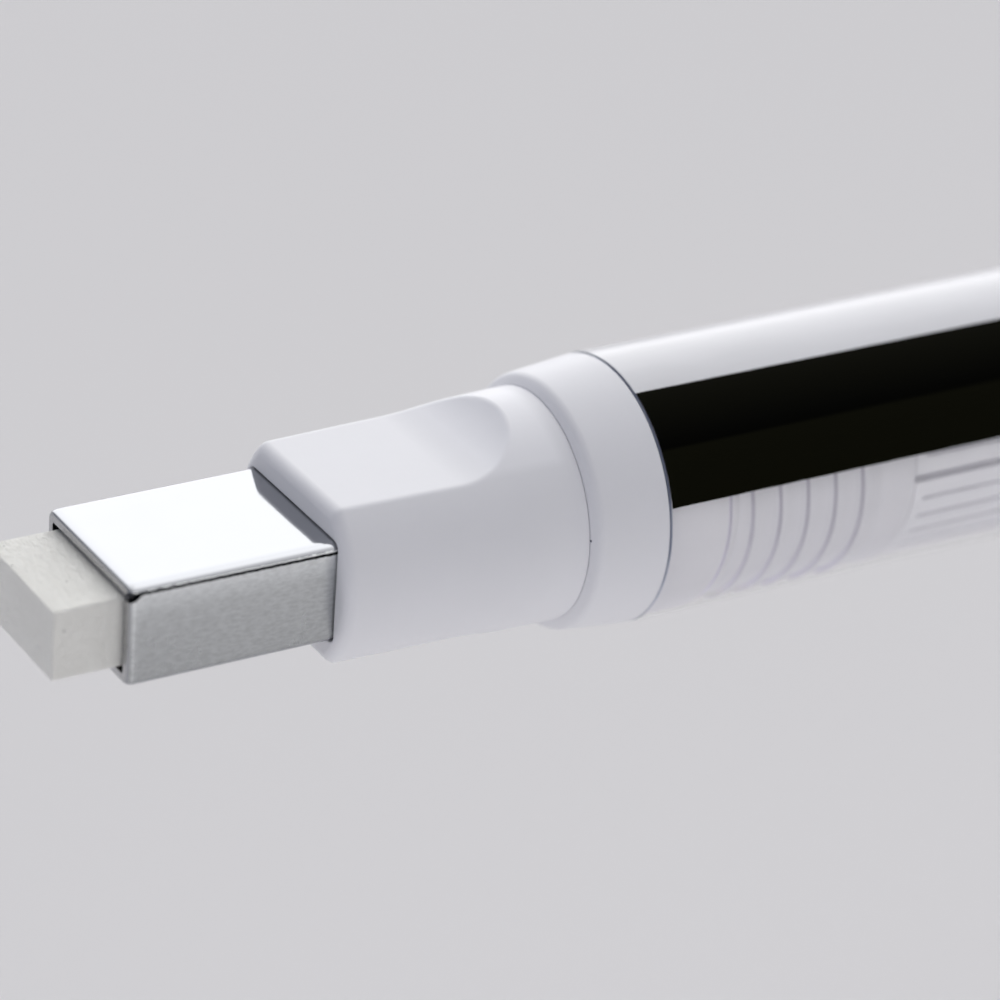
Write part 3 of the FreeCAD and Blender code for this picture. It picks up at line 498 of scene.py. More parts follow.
# Spigot plastic: a darker, bluer copy of the collar's white plastic as painted shade under the
# clear barrel, with painted light on its underside
SPIGOT = plastic("spigot_shade_and_light_mat", tint=(0.735, 0.728, 0.765), rough=0.42, under_light=0.32,
                 under_light_mid=0.24)
BRASS = metal("ring_brass_mat", tint=(0.82, 0.62, 0.30), rough=0.24, mottled=0.3,
              brushed=(0.2, 1, 1))
SPRING = metal("spring_steel_mat", tint=(0.60, 0.60, 0.61), rough=0.25, mottled=0.3,
               brushed=(0.3, 1, 1))
CLIP = metal("clip_steel_mat", tint=(0.74, 0.74, 0.76), rough=0.12, mottled=0.08, wave=0.02)
JAW = plastic("jaw_plastic_mat", tint=(0.70, 0.72, 0.74), rough=0.45)
TUBE = plastic("tube_plastic_mat", tint=(0.66, 0.67, 0.70), rough=0.40)
SOFT = plastic("soft_insert_mat", tint=(0.55, 0.55, 0.56), rough=0.75)

# ------------------------------------------------------------------ nose
NOSE_FRONT, NOSE_REAR = 7.36, 16.40
NOSE_FRONT_RADIUS, NOSE_REAR_RADIUS = 3.86, 4.03
FLAT_HEIGHT = 2.85  # of the upper and lower flats from the axis
SCOOP_START, SCOOP_LENGTH, SCOOP_RADIUS = 12.08, 3.89, 3.90  # curved run-out of the flats
FLAT_BLEND = 0.09  # softness of the edges between flats and round body
LIP = 0.42  # rounding of the front edge
RECESS_FLOOR = 15.20  # where the sleeve's recess narrows to the eraser's channel

# Rear joint: x, radius
NOSE_REAR_PROFILE = [
    (16.385, 4.02), (16.40, 4.00), (16.40, 3.62), (16.42, 3.60), (17.70, 3.60), (17.85, 3.75),
    (18.35, 3.75), (18.50, 3.60), (19.38, 3.60), (19.40, 3.58), (19.40, 3.30), (19.42, 3.28),
    (24.9, 3.28), (25.2, 3.13)]


def smooth_minimum(a, b, width):
    overlap = np.clip(width - np.abs(a - b), 0, None) / width
    return np.minimum(a, b) - overlap * overlap * width * 0.25


def rectangle_radius(half_y, half_z, corner):
    """Distance from the axis to a rounded rectangle's edge at each of ANGLES."""
    sine, cosine = np.abs(np.sin(ANGLES)), np.abs(np.cos(ANGLES))
    flat = np.minimum(half_y / np.maximum(sine, 1e-9), half_z / np.maximum(cosine, 1e-9))
    center_y, center_z = half_y - corner, half_z - corner
    along = sine * center_y + cosine * center_z
    inside = along * along - (center_y * center_y + center_z * center_z - corner * corner)
    rounded = along + np.sqrt(np.maximum(inside, 0))
    return np.where((flat * sine > center_y) & (flat * cosine > center_z), rounded, flat)


def nose_outer(x, inset):
    """Outer radius of the nose at each of ANGLES: a slow cone cut by two flats."""
    share = np.clip((x - NOSE_FRONT) / (NOSE_REAR - NOSE_FRONT), 0, 1)
    radius = NOSE_FRONT_RADIUS + (NOSE_REAR_RADIUS - NOSE_FRONT_RADIUS) * share - inset
    run = np.clip(x - SCOOP_START, 0, SCOOP_LENGTH)
    rise = SCOOP_RADIUS - np.sqrt(np.maximum(SCOOP_RADIUS ** 2 - run * run, 0.0))
    flat = (FLAT_HEIGHT + rise - inset) / np.maximum(np.abs(np.cos(ANGLES)), 1e-6)
    return smooth_minimum(radius, flat, FLAT_BLEND)


def recess(grow=0.0):
    return rectangle_radius(3.055 + grow, 1.865 + grow, 0.37)


def build_nose():
    channel = rectangle_radius(2.65, 1.40, 0.12)
    inner = recess(0.05)
    # Where the rounded lip meets the recess at the corners, the front edge sits further back
    lip_room = nose_outer(NOSE_FRONT, 0.0) - inner - 0.03
    lip_start = np.arcsin(np.clip(1 - lip_room / LIP, 0, 1))
    edge_x = NOSE_FRONT + LIP * (1 - np.cos(lip_start))
    # Inside, from the rear to the front
    rows = [
        (25.2, channel), (RECESS_FLOOR + 0.04, channel), (RECESS_FLOOR, channel + 0.01),
        (RECESS_FLOOR, recess() - 0.01), (RECESS_FLOOR - 0.02, recess()),
        (edge_x + 0.10, recess()), (edge_x + 0.05, recess(0.004)),
        (edge_x + 0.015, recess(0.02)), (edge_x, inner)]
    # Front face, out to the rounded lip
    outer = np.maximum(nose_outer(NOSE_FRONT, LIP), inner + 0.01)
    for share in (0.04, 0.3, 0.6, 0.9, 0.985):
        rows.append((edge_x, inner + (outer - inner) * share))
    for k in range(15):
        angle = lip_start + (QUARTER - lip_start) * k / 14
        x = NOSE_FRONT + LIP * (1 - np.cos(angle))
        rows.append((x, nose_outer(x, LIP * (1 - np.sin(angle)))))
    # Outside, closest together along the scooped run-out
    stations = np.concatenate([
        np.linspace(NOSE_FRONT + LIP + 0.03, 11.9, 14), np.linspace(11.95, 15.2, 116),
        np.linspace(15.25, 16.30, 8), [16.34]])
    rows += [(x, nose_outer(x, 0.0)) for x in stations]
    rows += NOSE_REAR_PROFILE
    xs, radii = (np.array([np.broadcast_to(row[column], ANGLES.shape) for row in rows])
                 for column in (0, 1))
    verts, faces = turned_mesh(xs, radii)
    nose = make_object("nose_shell", verts, faces, "nose", [NOSE], sharp=40)
    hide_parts("nose_cone")


build_nose()

# ------------------------------------------------------------------ collar, threaded spigot
THREAD_PITCH, THREAD_START, THREAD_LENGTH = 1.12, 22.60, 5.40
THREAD_STEPS = 240  # sections per turn
THREAD_RUN_OUT = 0.12  # in turns, at both ends

# x, radius, rounding
COLLAR_PROFILE = [
    (16.415, 3.66, 0.03), (16.415, COLLAR_LIP_RADIUS, 0.03), (16.60, 4.42, 0.60),
    (19.15, BARREL_RADIUS, 0.06), (19.15, 4.12, 0.0), (21.77, 4.12, 0.02), (21.81, 4.02, 0.0),
    (21.89, 4.02, 0.0), (21.92, 4.10, 0.02), (22.08, 4.06, 0.05), (22.30, SPIGOT_RADIUS, 0.05),
    (28.10, SPIGOT_RADIUS, 0.05), (29.15, 4.00, 0.02), (29.46, 4.00, 0.0), (29.46, 3.42, 0.0),
    (29.30, 3.42, 0.0), (29.30, 3.20, 0.03), (28.30, 3.20, 0.0), (28.14, 3.36, 0.0),
    (19.50, 3.36, 0.0), (19.50, 3.66, 0.0), (18.46, 3.66, 0.0), (18.46, 3.82, 0.0),
    (17.74, 3.82, 0.0), (17.74, 3.66, 0.0)]

# Section of the thread, steep in front and easy behind: x offset, height
THREAD_SECTION = [
    (-0.10, 0.0), (-0.060, 0.0), (-0.045, 0.012), (-0.02, 0.150), (0.0, 0.185), (0.03, 0.200),
    (0.10, 0.205), (0.22, 0.180), (0.40, 0.115), (0.62, 0.050), (0.80, 0.010), (0.92, 0.0)]


def build_collar():
    collar = lathe("collar_shell", COLLAR_PROFILE, "collar",
                   [WHITE, SPIGOT, FLANK_SHADING], steps=10, sharp=50)

    def slot_at(x, radius):
        if x < 19.2:
            return 0
        # The collar groove gets the painted-shade flank plastic
        in_groove = 21.785 < x < 21.93 and radius > 3.6
        return 2 if in_groove else 1

    assign_slots(collar, slot_at)
    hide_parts("front_collar")


def build_thread():
    """Right-hand thread that runs out at both ends."""
    base = SPIGOT_RADIUS - 0.005
    turns = THREAD_LENGTH / THREAD_PITCH
    sections = int(turns * THREAD_STEPS) + 1
    verts = []
    for i in range(sections):
        turn = i / THREAD_STEPS
        fade = min(1.0, turn / THREAD_RUN_OUT, (turns - turn) / THREAD_RUN_OUT)
        fade = fade * fade * (3 - 2 * fade)
        # +Z towards -Y is a right-hand helix about +X
        angle = 2 * math.pi * turn
        for offset, height in THREAD_SECTION:
            sunk = 0.02 if height == 0.0 else 0.0
            radius = base + height * fade - sunk
            verts.append((THREAD_START + THREAD_PITCH * turn + offset,
                          -radius * math.sin(angle), radius * math.cos(angle)))
    columns = len(THREAD_SECTION)
    faces = grid_faces(sections, columns, wrap=False)
    thread = make_object("collar_thread", verts, faces, "collar",
                         [SPIGOT, FLANK_SHADING], sharp=32)
    for k, face in enumerate(thread.data.polygons):
        # The steep front flanks get the painted-shade flank plastic
        on_front_flank = k % (columns - 1) in (1, 2)
        face.material_index = 1 if on_front_flank else 0


def build_collar_gap_shade():
    """Tiny dark ball at the collar's front edge, on the -Y side: painted shade of a small gap in
    the seam.
    """
    radius, bands, sides = 0.042, 8, 16
    angle = math.radians(82.7)
    center = np.array([16.43, -COLLAR_LIP_RADIUS * math.sin(angle),
                       COLLAR_LIP_RADIUS * math.cos(angle)])
    verts = []
    for i in range(1, bands):
        for j in range(sides):
            polar, around = math.pi * i / bands, 2 * math.pi * j / sides
            verts.append(center + radius * np.array([
                math.cos(polar), math.sin(polar) * math.cos(around),
                math.sin(polar) * math.sin(around)]))
    rear_pole, front_pole = len(verts), len(verts) + 1
    verts += [center + [radius, 0, 0], center - [radius, 0, 0]]
    faces = grid_faces(bands - 1, sides)
    last = (bands - 2) * sides
    for j in range(sides):
        k = (j + 1) % sides
        faces.append((rear_pole, k, j))
        faces.append((front_pole, last + j, last + k))
    make_object("collar_gap_shade", verts, faces, "collar", [GAP_SHADE], sharp=60)


build_collar()
build_thread()
build_collar_gap_shade()

# ------------------------------------------------------------------ clear barrel and its print
BARREL_REAR = 104.0

# x, radius, rounding
BARREL_PROFILE = [
    (BARREL_FRONT, 4.17, 0.04), (BARREL_FRONT, BARREL_RADIUS, 0.07),
    (BARREL_REAR, BARREL_RADIUS, 0.06), (BARREL_REAR, 4.10, 0.04), (94.0, 4.10, 0.0),
    (94.0, 3.80, 0.03), (47.05, 3.80, 0.03), (47.05, 3.98, 0.0), (29.60, 3.98, 0.03),
    (29.40, 4.17, 0.03)]

PRINT_INNER, PRINT_OUTER = BARREL_RADIUS + 0.004, BARREL_RADIUS + 0.014


def build_barrel():
    barrel = lathe("barrel_shell", BARREL_PROFILE, "barrel",
                   [CLEAR, BORE, CUT], steps=6, sharp=40)

    def slot_at(x, radius):
        if x < BARREL_FRONT + 0.055:
            return 2
        return 1 if radius < 4.45 and x < BARREL_REAR - 0.1 else 0

    assign_slots(barrel, slot_at)
    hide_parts("barrel")
    barrel["note"] = "clear"


def build_film(name, start, end, front, rear, material):
    """Printed film on the barrel between two angles in degrees from +Z towards +Y."""
    angles = np.radians(np.linspace(start, end, 96))
    stations = np.concatenate([
        [front, front + 0.05, front + 0.2], np.linspace(front + 1, rear - 1, 160),
        [rear - 0.2, rear - 0.05, rear]])
    rows, columns = len(stations), len(angles)
    verts = []
    for radius in (PRINT_OUTER, PRINT_INNER):
        for x in stations:
            # The long edges are slightly uneven
            wobble = 0.0005 * math.sin(x * 9.1) + 0.0004 * math.sin(x * 23.7 + 1.0)
            for j, angle in enumerate(angles):
                if j in (0, columns - 1):
                    angle = angle + wobble
                verts.append((x, radius * math.sin(angle), radius * math.cos(angle)))
    under = rows * columns  # from a vertex of the outer layer to the one below it
    faces = grid_faces(rows, columns, wrap=False)
    faces += [face[::-1] for face in grid_faces(rows, columns, wrap=False, first=under)]
    rims = []
    for i in range(rows - 1):
        rims += [(i * columns + j, (i + 1) * columns + j) for j in (0, columns - 1)]
    for j in range(columns - 1):
        rims += [(i * columns + j, i * columns + j + 1) for i in (0, rows - 1)]
    faces += [(a, b, under + b, under + a) for a, b in rims]
    make_object(name, verts, faces, "barrel", [material], sharp=60)


build_barrel()
build_film("print_black", start=-73.3, end=-21.5, front=19.25, rear=103.6, material=BLACK_PRINT)
build_film("print_white", start=-21.46, end=30.4, front=19.22, rear=103.6, material=WHITE_PRINT)

# ------------------------------------------------------------------ folded metal sleeve
SLEEVE_HALF_WIDTH, SLEEVE_HALF_HEIGHT = 3.010, 1.835
SLEEVE_WALL, SLEEVE_BEND, SLEEVE_LENGTH = 0.28, 0.35, 13.0
SEAM_FRONT_Z, SEAM_REAR_Z = 1.570, 1.485  # the seam runs along the -Y side
MOUTH_TURN = 0.135  # how far the wide faces turn in at the mouth
SHEET_TIP = 0.05  # rounding of the sheet's front edge


def sleeve_outline(off_y, off_z, bend, seam_low, seam_high):
    """Open path round the section, from the seam's lower edge down, round and back to its top."""
    half_y, half_z = SLEEVE_HALF_WIDTH - off_y, SLEEVE_HALF_HEIGHT - off_z
    y, z = half_y - bend, half_z - bend

    def corner(center_y, center_z, start, sweep=QUARTER):
        return arc(center_y, center_z, bend, start, -sweep, 12)[1:]

    points = [(-half_y, height) for height in np.linspace(seam_low, -z, 26)]
    points += corner(-y, -z, -QUARTER)
    points += [(across, -half_z) for across in np.linspace(-y, y, 26)[1:]]
    points += corner(y, -z, -math.pi)
    points += [(half_y, height) for height in np.linspace(-z, z, 18)[1:]]
    points += corner(y, z, QUARTER)
    points += [(across, half_z) for across in np.linspace(y, -y, 60)[1:]]
    # The last bend stops at the seam's upper edge
    sweep = math.acos(min(max((seam_high - z) / bend, 0.0), 1.0))
    return points + corner(-y, z, 0.0, sweep)


def turn_in(x, length):
    """Quarter-round falling from 1 at the mouth to 0 at length."""
    return 1 - math.sqrt(1 - (1 - min(x / length, 1.0)) ** 2)


def sleeve_section(x):
    """Outer and inner path of the sheet at x."""
    seam = SEAM_FRONT_Z + (SEAM_REAR_Z - SEAM_FRONT_Z) * x / SLEEVE_LENGTH
    jag_low = (0.020 * math.sin(x * 7.3) * math.sin(x * 19.1 + 0.6)
               + 0.014 * math.sin(x * 47.0 + 1.3))
    jag_high = 0.010 * math.sin(x * 11.9 + 2.0) + 0.010 * math.sin(x * 53.0)
    notch = 0.24 * max(0.0, 1 - (x / 0.44) ** 1.6)
    turn = turn_in(x, 0.39)
    turn_side = turn_in(x, 0.20)  # tighter on the narrow sides
    tip = SHEET_TIP * turn_in(x, SHEET_TIP)
    low = seam - 0.062 - notch + jag_low * 0.6
    high = min(seam + 0.040 + jag_high * 0.6, SLEEVE_HALF_HEIGHT - MOUTH_TURN * turn - 0.03)
    inner_off_z = SLEEVE_WALL + 0.14 * turn
    outer = sleeve_outline(0.11 * turn_side + tip * 0.5, MOUTH_TURN * turn + tip * 0.5,
                           SLEEVE_BEND - 0.05 * turn, low, high)
    inner = sleeve_outline(SLEEVE_WALL + 0.12 * turn_side - tip * 0.6, inner_off_z - tip * 0.6,
                           0.12, low, min(high, SLEEVE_HALF_HEIGHT - inner_off_z - 0.004))
    return outer, inner


def build_sleeve():
    stations = np.concatenate([
        [0.0, 0.006, 0.016, 0.03, 0.05, 0.08], np.arange(0.12, 7.6, 0.04),
        np.linspace(7.8, 12.9, 16), [12.97, SLEEVE_LENGTH]])
    verts = []
    for x in stations:
        outer, inner = sleeve_section(x)
        verts += [(x, y, z) for y, z in outer + inner[::-1]]
    half, count, rings = len(outer), len(outer + inner), len(stations)
    faces = grid_faces(rings, count)
    strip = ["outside"] * (half - 1) + ["edge"] + ["inside"] * (half - 1) + ["edge"]
    parts = strip * (rings - 1)
    # Front and rear edge of the sheet
    for first in (0, (rings - 1) * count):
        for j in range(half - 1):
            faces.append((first + j, first + j + 1, first + count - 2 - j, first + count - 1 - j))
            parts.append("edge")
    # A shallow waviness on the wide faces
    verts = np.array(verts)
    x, y, z = verts.T
    wave = smooth_noise(np.stack([x * 0.42, y * 0.5, np.sign(z) * 3], -1), seed=5, octaves=2)
    wide = np.clip((np.abs(z) - 1.2) / 0.4, 0, 1) * np.clip((2.6 - np.abs(y)) / 0.6, 0, 1)
    verts[:, 2] += 0.006 * wave * wide * np.sign(z)
    sleeve = make_object("sleeve_sheet", verts, faces, "nose",
                         [BRIGHT, SATIN, EDGE, INSIDE_SHADE], sharp=42)
    for face, part in zip(sleeve.data.polygons, parts):
        # Index 3 is the near-black inside metal, painted shade
        if part == "edge":
            face.material_index = 2 if face.center[0] / MM < 0.05 else 3
        elif part == "inside":
            face.material_index = 3
        else:
            narrow_side = abs(face.normal[1]) > 0.80 and abs(face.center[2] / MM) < 1.62
            face.material_index = 1 if narrow_side else 0
    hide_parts("tip_sleeve")


build_sleeve()

# ------------------------------------------------------------------ eraser stick
STICK_FRONT, STICK_REAR = -2.42, 84.58
STICK_HALF_WIDTH, STICK_HALF_HEIGHT = 2.5, 1.25
STICK_CORNER = 0.10
STICK_RIM = 0.07  # rounding round the front face


def stick_outline():
    """Section points (y, z), starting along the top towards +Y."""
    y, z = STICK_HALF_WIDTH - STICK_CORNER, STICK_HALF_HEIGHT - STICK_CORNER

    def corner(center_y, center_z, start):
        return arc(center_y, center_z, STICK_CORNER, start, QUARTER, 6)

    across = np.linspace(-y, y, 110)[1:-1]
    down = np.linspace(z, -z, 56)[1:-1]
    points = [(place, STICK_HALF_HEIGHT) for place in across]
    points += corner(y, z, 0)
    points += [(STICK_HALF_WIDTH, place) for place in down]
    points += corner(y, -z, QUARTER)
    points += [(place, -STICK_HALF_HEIGHT) for place in across[::-1]]
    points += corner(-y, -z, math.pi)
    points += [(-STICK_HALF_WIDTH, place) for place in down[::-1]]
    points += corner(-y, z, 3 * QUARTER)
    return np.array(points)


def wear_stick(verts):
    """Wear, wrinkles and pores near the tip."""
    x, y, z = verts.T.copy()
    points = np.stack([x, y, z], -1)
    fine = smooth_noise(points * 9.0, seed=31, octaves=3)
    # The end is worn a little out of square
    front = np.clip((3.0 - (x - STICK_FRONT)) / 3.0, 0, 1)
    slant = 0.05 * (y + STICK_HALF_WIDTH) / (2 * STICK_HALF_WIDTH)
    verts[:, 0] += front * slant * (x < 1.0)
    # Slanted wrinkles across the wide faces, in patches
    near = np.clip((2.0 - x) / 1.2, 0, 1)
    warp = (smooth_noise(points * 1.3, seed=3, octaves=2) * 5.0
            + smooth_noise(points * 3.5, seed=9, octaves=2) * 2.2)
    patches = np.clip(smooth_noise(points * 0.9 + 4.0, seed=21, octaves=2) + 0.45, 0, 1)
    wrinkles = np.sin((x + y * 0.45) * 15.0 + warp) * patches
    at_side = np.abs(y) > STICK_HALF_WIDTH - 0.02
    at_top = np.abs(z) > STICK_HALF_HEIGHT - 0.02
    wide = at_top & (np.abs(y) < STICK_HALF_WIDTH - 0.02)
    narrow = at_side & (np.abs(z) < STICK_HALF_HEIGHT - 0.02)
    skin = np.sign(z) * (0.007 * wrinkles + 0.004 * fine - 0.012) * near
    verts[:, 2] += np.where(wide, skin, 0)
    verts[:, 1] += np.where(narrow, np.sign(y) * (0.006 * fine - 0.008) * near, 0)
    verts[:, 0] += np.where(x < STICK_FRONT + 0.02, 0.006 * fine + 0.006, 0)
    # A little thinner further in
    verts[:, 2] *= 1 - 0.030 * np.clip((x - 3.0) / 6.0, 0, 1)


def build_stick():
    outline = stick_outline()

    def shrunk(inset):
        return np.sign(outline) * np.maximum(np.abs(outline) - inset, 0)

    # Front face, rounded rim, then the body: (x, section)
    sections = [(STICK_FRONT, shrunk(STICK_RIM) * scale) for scale in np.linspace(0.04, 0.96, 26)]
    for k in range(5):
        angle = QUARTER * k / 4
        sections.append((STICK_FRONT + STICK_RIM * (1 - math.cos(angle)),
                         shrunk(STICK_RIM * (1 - math.sin(angle)))))
    body = np.concatenate([np.arange(0.10, 3.2, 0.045), np.linspace(3.3, 86.9, 60)])
    sections += [(STICK_FRONT + distance, outline) for distance in body]
    verts = np.vstack([np.column_stack([np.full(len(section), x), section])
                       for x, section in sections])
    sides, rings = len(outline), len(sections)
    faces = grid_faces(rings, sides)
    center, last = len(verts), (rings - 1) * sides
    verts = np.vstack([verts, [[STICK_FRONT, 0, 0]], [[STICK_REAR, 0, 0]]])
    for j in range(sides):
        k = (j + 1) % sides
        faces.append((j, k, center))
        faces.append((last + k, last + j, center + 1))
    wear_stick(verts)
    stick = make_object("eraser_body", verts, faces, "eraser", [ERASER], sharp=40)
    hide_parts("eraser_stick")


build_stick()


# ------------------------------------------------------------------ return spring
def build_spring():
    """Open coil whose turns sit a little closer at both ends."""
    coil_radius, wire_radius = 3.52, 0.17
    front, length = 47.20, 12.60
    coils, steps_per_coil, sides = 8, 72, 12
    steps = coils * steps_per_coil
    verts = []
    for share in np.linspace(0, 1, steps + 1):
        around = 2 * math.pi * coils * share
        x = front + length * (share - math.sin(2 * math.pi * share) * 0.045)
        for k in range(sides):
            angle = 2 * math.pi * k / sides
            radius = coil_radius + wire_radius * math.cos(angle)
            verts.append((x + wire_radius * math.sin(angle),
                          radius * math.sin(around), radius * math.cos(around)))
    faces = grid_faces(steps + 1, sides) + end_caps(steps + 1, sides)
    spring = make_object("spring_coil", verts, faces, "barrel", [SPRING],
                         sharp=60)
    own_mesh(spring)
    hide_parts("return_spring")


build_spring()

# ------------------------------------------------------------------ push button
# x, radius, rounding
BUTTON_PROFILE = [
    (100.0, 3.32, 0.02), (100.0, 3.55, 0.08), (110.6, 3.55, 0.0), (118.0, 3.55, 1.60),
    (118.0, 0.02, 0.0), (116.4, 0.02, 0.0), (116.4, 2.60, 0.3), (106.1, 2.60, 0.05),
    (106.1, 3.22, 0.0), (100.1, 3.22, 0.0)]
button = lathe("button_cap", BUTTON_PROFILE, "button", [BUTTON], steps=16)
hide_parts("knock_button")

# ------------------------------------------------------------------ clip
CLIP_ANGLE = math.radians(112.0)  # round the pen, from +Z towards +Y
ROLL_X, ROLL_HEIGHT, ROLL_RADIUS = 107.2, 5.70, 0.42  # curl at the rear end
STRIP_REAR_HEIGHT, STRIP_FRONT_HEIGHT, STRIP_BOW = 6.12, 5.88, 0.10
LIP_X, LIP_RADIUS, LIP_SWEEP = 72.4, 3.2, math.radians(34)  # upturned front end
CLIP_REAR_HALF_WIDTH, CLIP_FRONT_HALF_WIDTH = 1.80, 1.35
TAPER_REAR, TAPER_FRONT = 103.2, 70.8
CLIP_CORNER = 0.11
CLIP_TIP_POINTS = 11  # path points over which the front end narrows
BALL_X, BALL_HEIGHT, BALL_RADIUS = 74.6, 5.70, 0.98


def clip_path():
    """Centre line from the rear curl to the front lip: (x, height above the axis)."""
    path = []
    start = math.radians(-88)
    for k in range(30):
        angle = start + (QUARTER - start) * k / 29
        path.append((ROLL_X + ROLL_RADIUS * math.cos(angle),
                     ROLL_HEIGHT + ROLL_RADIUS * math.sin(angle)))
    for x in np.linspace(ROLL_X - 0.25, 72.6, 120):
        share = (ROLL_X - x) / (ROLL_X - 72.0)
        path.append((x, STRIP_REAR_HEIGHT + (STRIP_FRONT_HEIGHT - STRIP_REAR_HEIGHT) * share
                     + STRIP_BOW * math.sin(math.pi * share)))
    for k in range(1, 15):
        angle = LIP_SWEEP * k / 14
        path.append((LIP_X - LIP_RADIUS * math.sin(angle),
                     STRIP_FRONT_HEIGHT + LIP_RADIUS * (1 - math.cos(angle))))
    end_x, end_height = path[-1]
    path += [(end_x - 0.14 * k, end_height + 0.095 * k) for k in range(1, 6)]
    return np.array(path)


def clip_section(half_width, half_thickness):
    """Rounded rectangle of (across, out) points, with extra points on its wide sides."""
    across, out = half_width - CLIP_CORNER, half_thickness - CLIP_CORNER
    corners = []
    for k, (side, face) in enumerate(((1, 1), (1, -1), (-1, -1), (-1, 1))):
        corners += arc(side * across, face * out, CLIP_CORNER, QUARTER * k, QUARTER, 4)
    corners = np.array(corners)
    points = []
    for here, following in zip(corners, np.roll(corners, -1, axis=0)):
        points.append(here)
        if abs(here[0] - following[0]) > 1.0:
            points += [here + (following - here) * s for s in np.linspace(0, 1, 13)[1:-1]]
    return points


def clip_ball(first):
    """Lower half of the ball on the clip's inner side, its faces numbered from `first`."""
    bands, sides = 12, 36
    verts = []
    for i in range(bands + 1):
        latitude = -QUARTER + QUARTER * i / bands
        radius = BALL_RADIUS * math.cos(latitude)
        for k in range(sides):
            around = 2 * math.pi * k / sides
            verts.append((BALL_X + radius * math.cos(around), radius * math.sin(around),
                          BALL_HEIGHT + BALL_RADIUS * math.sin(latitude)))
    faces = grid_faces(bands + 1, sides, first=first)
    faces.append(tuple(first + bands * sides + k for k in range(sides)))
    return verts, faces


def build_clip():
    path = clip_path()
    tangent = np.gradient(path, axis=0)
    tangent /= np.linalg.norm(tangent, axis=1)[:, None]
    outward = np.stack([tangent[:, 1], -tangent[:, 0]], -1)
    verts = []
    for i, (x, height) in enumerate(path):
        taper = max(TAPER_REAR - x, 0.0) / (TAPER_REAR - TAPER_FRONT)
        half_width = (CLIP_REAR_HALF_WIDTH
                      + (CLIP_FRONT_HALF_WIDTH - CLIP_REAR_HALF_WIDTH) * taper)
        tip_share = max(i - (len(path) - 1 - CLIP_TIP_POINTS), 0) / CLIP_TIP_POINTS
        half_width *= math.sqrt(1 - (tip_share * 0.80) ** 2)
        section = clip_section(half_width, 0.25 if x < 106.3 else 0.200)
        rise = min(max((103.8 - x) / 1.5, 0.0), 1.0)
        for across, out in section:
            # The outer face is slightly crowned
            if out > 0.1:
                out = out + 0.05 * rise * (1 - (across / half_width) ** 2)
            verts.append((x + outward[i, 0] * out, across, height + outward[i, 1] * out))
    faces = grid_faces(len(path), len(section)) + end_caps(len(path), len(section))
    ball_verts, ball_faces = clip_ball(len(verts))
    faces += ball_faces
    # Built above the axis, then turned into place round the pen
    x, y, z = np.array(verts + ball_verts).T
    cosine, sine = math.cos(CLIP_ANGLE), math.sin(CLIP_ANGLE)
    verts = np.stack([x, y * cosine + z * sine, -y * sine + z * cosine], -1)
    clip = make_object("clip_strip", verts, faces, "clip", [CLIP], sharp=50)
    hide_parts("pocket_clip")


build_clip()

# ------------------------------------------------------------------ CAD nodes that stay
KEPT_NODES = {
    "clutch_housing": HOUSING, "tail_sleeve": WHITE, "clutch_ring": BRASS,
    "chuck_jaw_upper": JAW, "chuck_jaw_lower": JAW, "chuck_holder": JAW,
    "guide_tube": TUBE, "eraser_retainer": SOFT}
for node_name, material in KEPT_NODES.items():
    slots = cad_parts[node_name].data.materials
    if len(slots) == 0:
        slots.append(material)
    else:
        for i in range(len(slots)):
            slots[i] = material


# ------------------------------------------------------------------ stage
def build_floor():
    bpy.ops.mesh.primitive_grid_add(x_subdivisions=8, y_subdivisions=8, size=6.0,
                                    location=(0, 0, -0.034))
    floor = bpy.context.object
    floor.name = "floor"
    floor.data.materials.append(floor_paper("floor_mat"))


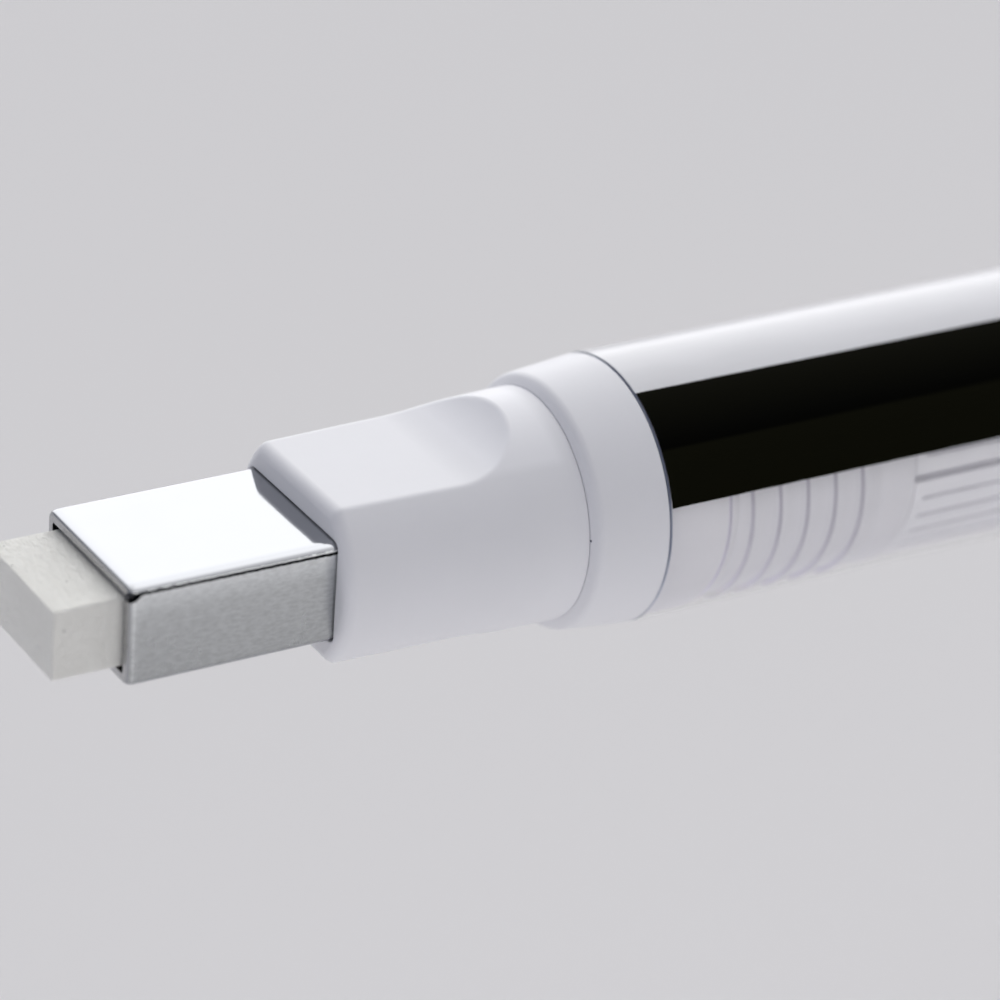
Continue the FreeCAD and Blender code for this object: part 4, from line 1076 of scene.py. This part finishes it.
def build_world():
    """Soft studio sky. Glossy rays also see a bright patch above, transmitted rays an even grey."""
    world = bpy.data.worlds.new("studio")
    bpy.context.scene.world = world
    world.use_nodes = True
    s = Shader(world.node_tree)
    output = s.node("OutputWorld")
    generated = s.node("TexCoord").outputs["Generated"]
    ray = s.node("VectorMath", {0: generated}, operation="NORMALIZE").outputs[0]

    def lobe(direction, stops):
        """Ramp from 0 opposite a direction, through 0.5 square to it, to 1 along it."""
        facing = s.node("VectorMath", {0: ray, 1: Vector(direction).normalized()},
                        operation="DOT_PRODUCT").outputs["Value"]
        return s.gradient(facing, -1.0, 1.0, stops, interpolation="EASE")

    sky = lobe((0, 0, 1), [
        (0.5, (0.445, 0.445, 0.46)), (0.75, (0.555, 0.555, 0.565)), (1.0, (0.64, 0.64, 0.645))])
    # Bright patch at the rear on the +Y side
    back = lobe((0.47, 0.75, 0.48), [(0.80, 0), (0.93, 1.42), (1.0, (1.50, 1.50, 1.49))])
    # Darker towards the tip's end, and above the -Y side
    dim = lobe((-1, 0, 0.1), [(0.5, 0), (1.0, (0.285, 0.27, 0.225))])
    front = lobe((0, -0.64, 0.77), [(0.74, 0), (1.0, (0.49, 0.49, 0.485))])
    over = lobe((0.47, -0.05, 0.88), [
        (0.60, 0), (0.69, (0.66, 0.66, 0.67)), (0.815, (0.90, 0.90, 0.91)), (0.915, 1.2),
        (0.97, 1.9), (1.0, 2.0)])
    even = lobe((0, 0, 1), [(0.0, (0.555, 0.55, 0.562)), (1.0, (0.575, 0.57, 0.58))])
    plain = s.mix(sky, back, blend="ADD")
    plain = s.mix(plain, dim, blend="SUBTRACT")
    plain = s.mix(plain, front, blend="SUBTRACT")
    rays = s.node("LightPath").outputs
    glossy = s.mix(plain, s.mix(plain, over, blend="LIGHTEN"), factor=rays["Is Glossy Ray"])
    color = s.mix(glossy, even, factor=rays["Is Transmission Ray"])
    background = s.node("Background", {"Color": color, "Strength": 1.09})
    s.feed(output.inputs[0], background.outputs[0])


def area_light(name, shape, size, energy, location, target):
    data = bpy.data.lights.new(name, "AREA")
    data.shape = shape
    data.size = size
    data.energy = energy
    light = add_object(name, data)
    light.location = location
    aim = Vector(target) - light.location
    light.rotation_euler = aim.to_track_quat("-Z", "Y").to_euler()
    return light


def build_camera():
    azimuth, elevation, roll = map(math.radians, (-32.25, 27.613, 4.206))
    target = Vector((15.303, 0, 0.325)) * MM
    distance = 155.577 * MM
    backward = Vector((math.sin(azimuth) * math.cos(elevation),
                       -math.cos(azimuth) * math.cos(elevation), math.sin(elevation)))
    level_right = (-backward).cross(Vector((0, 0, 1))).normalized()
    level_up = level_right.cross(-backward)
    right = level_right * math.cos(roll) + level_up * math.sin(roll)
    up = -level_right * math.sin(roll) + level_up * math.cos(roll)

    data = bpy.data.cameras.new("camera")
    data.sensor_width = 36.0
    data.lens = 167.073372
    data.clip_start = 0.005
    data.clip_end = 20.0
    camera = add_object("camera", data)
    turn = Matrix((right, up, backward)).transposed().to_4x4()
    camera.matrix_world = Matrix.Translation(target + backward * distance) @ turn
    bpy.context.scene.camera = camera

    focus = add_object("focus", None)
    focus.location = (0.0105, -0.002, 0.001)
    data.dof.use_dof = True
    data.dof.focus_object = focus
    data.dof.aperture_fstop = 46.0


build_floor()
build_world()
area_light("key", "DISK", size=0.5, energy=0.49, location=(-0.25, 0.25, 0.75),
           target=(0.01, 0, 0))
fill = area_light("fill", "RECTANGLE", size=0.5, energy=0.53, location=(0.0, -0.45, 0.015),
                  target=(0.02, 0, 0))
fill.data.size_y = 0.15
fill.visible_glossy = False
build_camera()

# ------------------------------------------------------------------ render settings
scene = bpy.context.scene
scene.view_settings.view_transform = "Standard"
scene.view_settings.look = "None"
scene.cycles.use_denoising = True
scene.cycles.max_bounces = 14
scene.cycles.transmission_bounces = 12
scene.cycles.transparent_max_bounces = 12
scene.cycles.caustics_refractive = True
scene.cycles.caustics_reflective = True

bpy.context.view_layer.update()
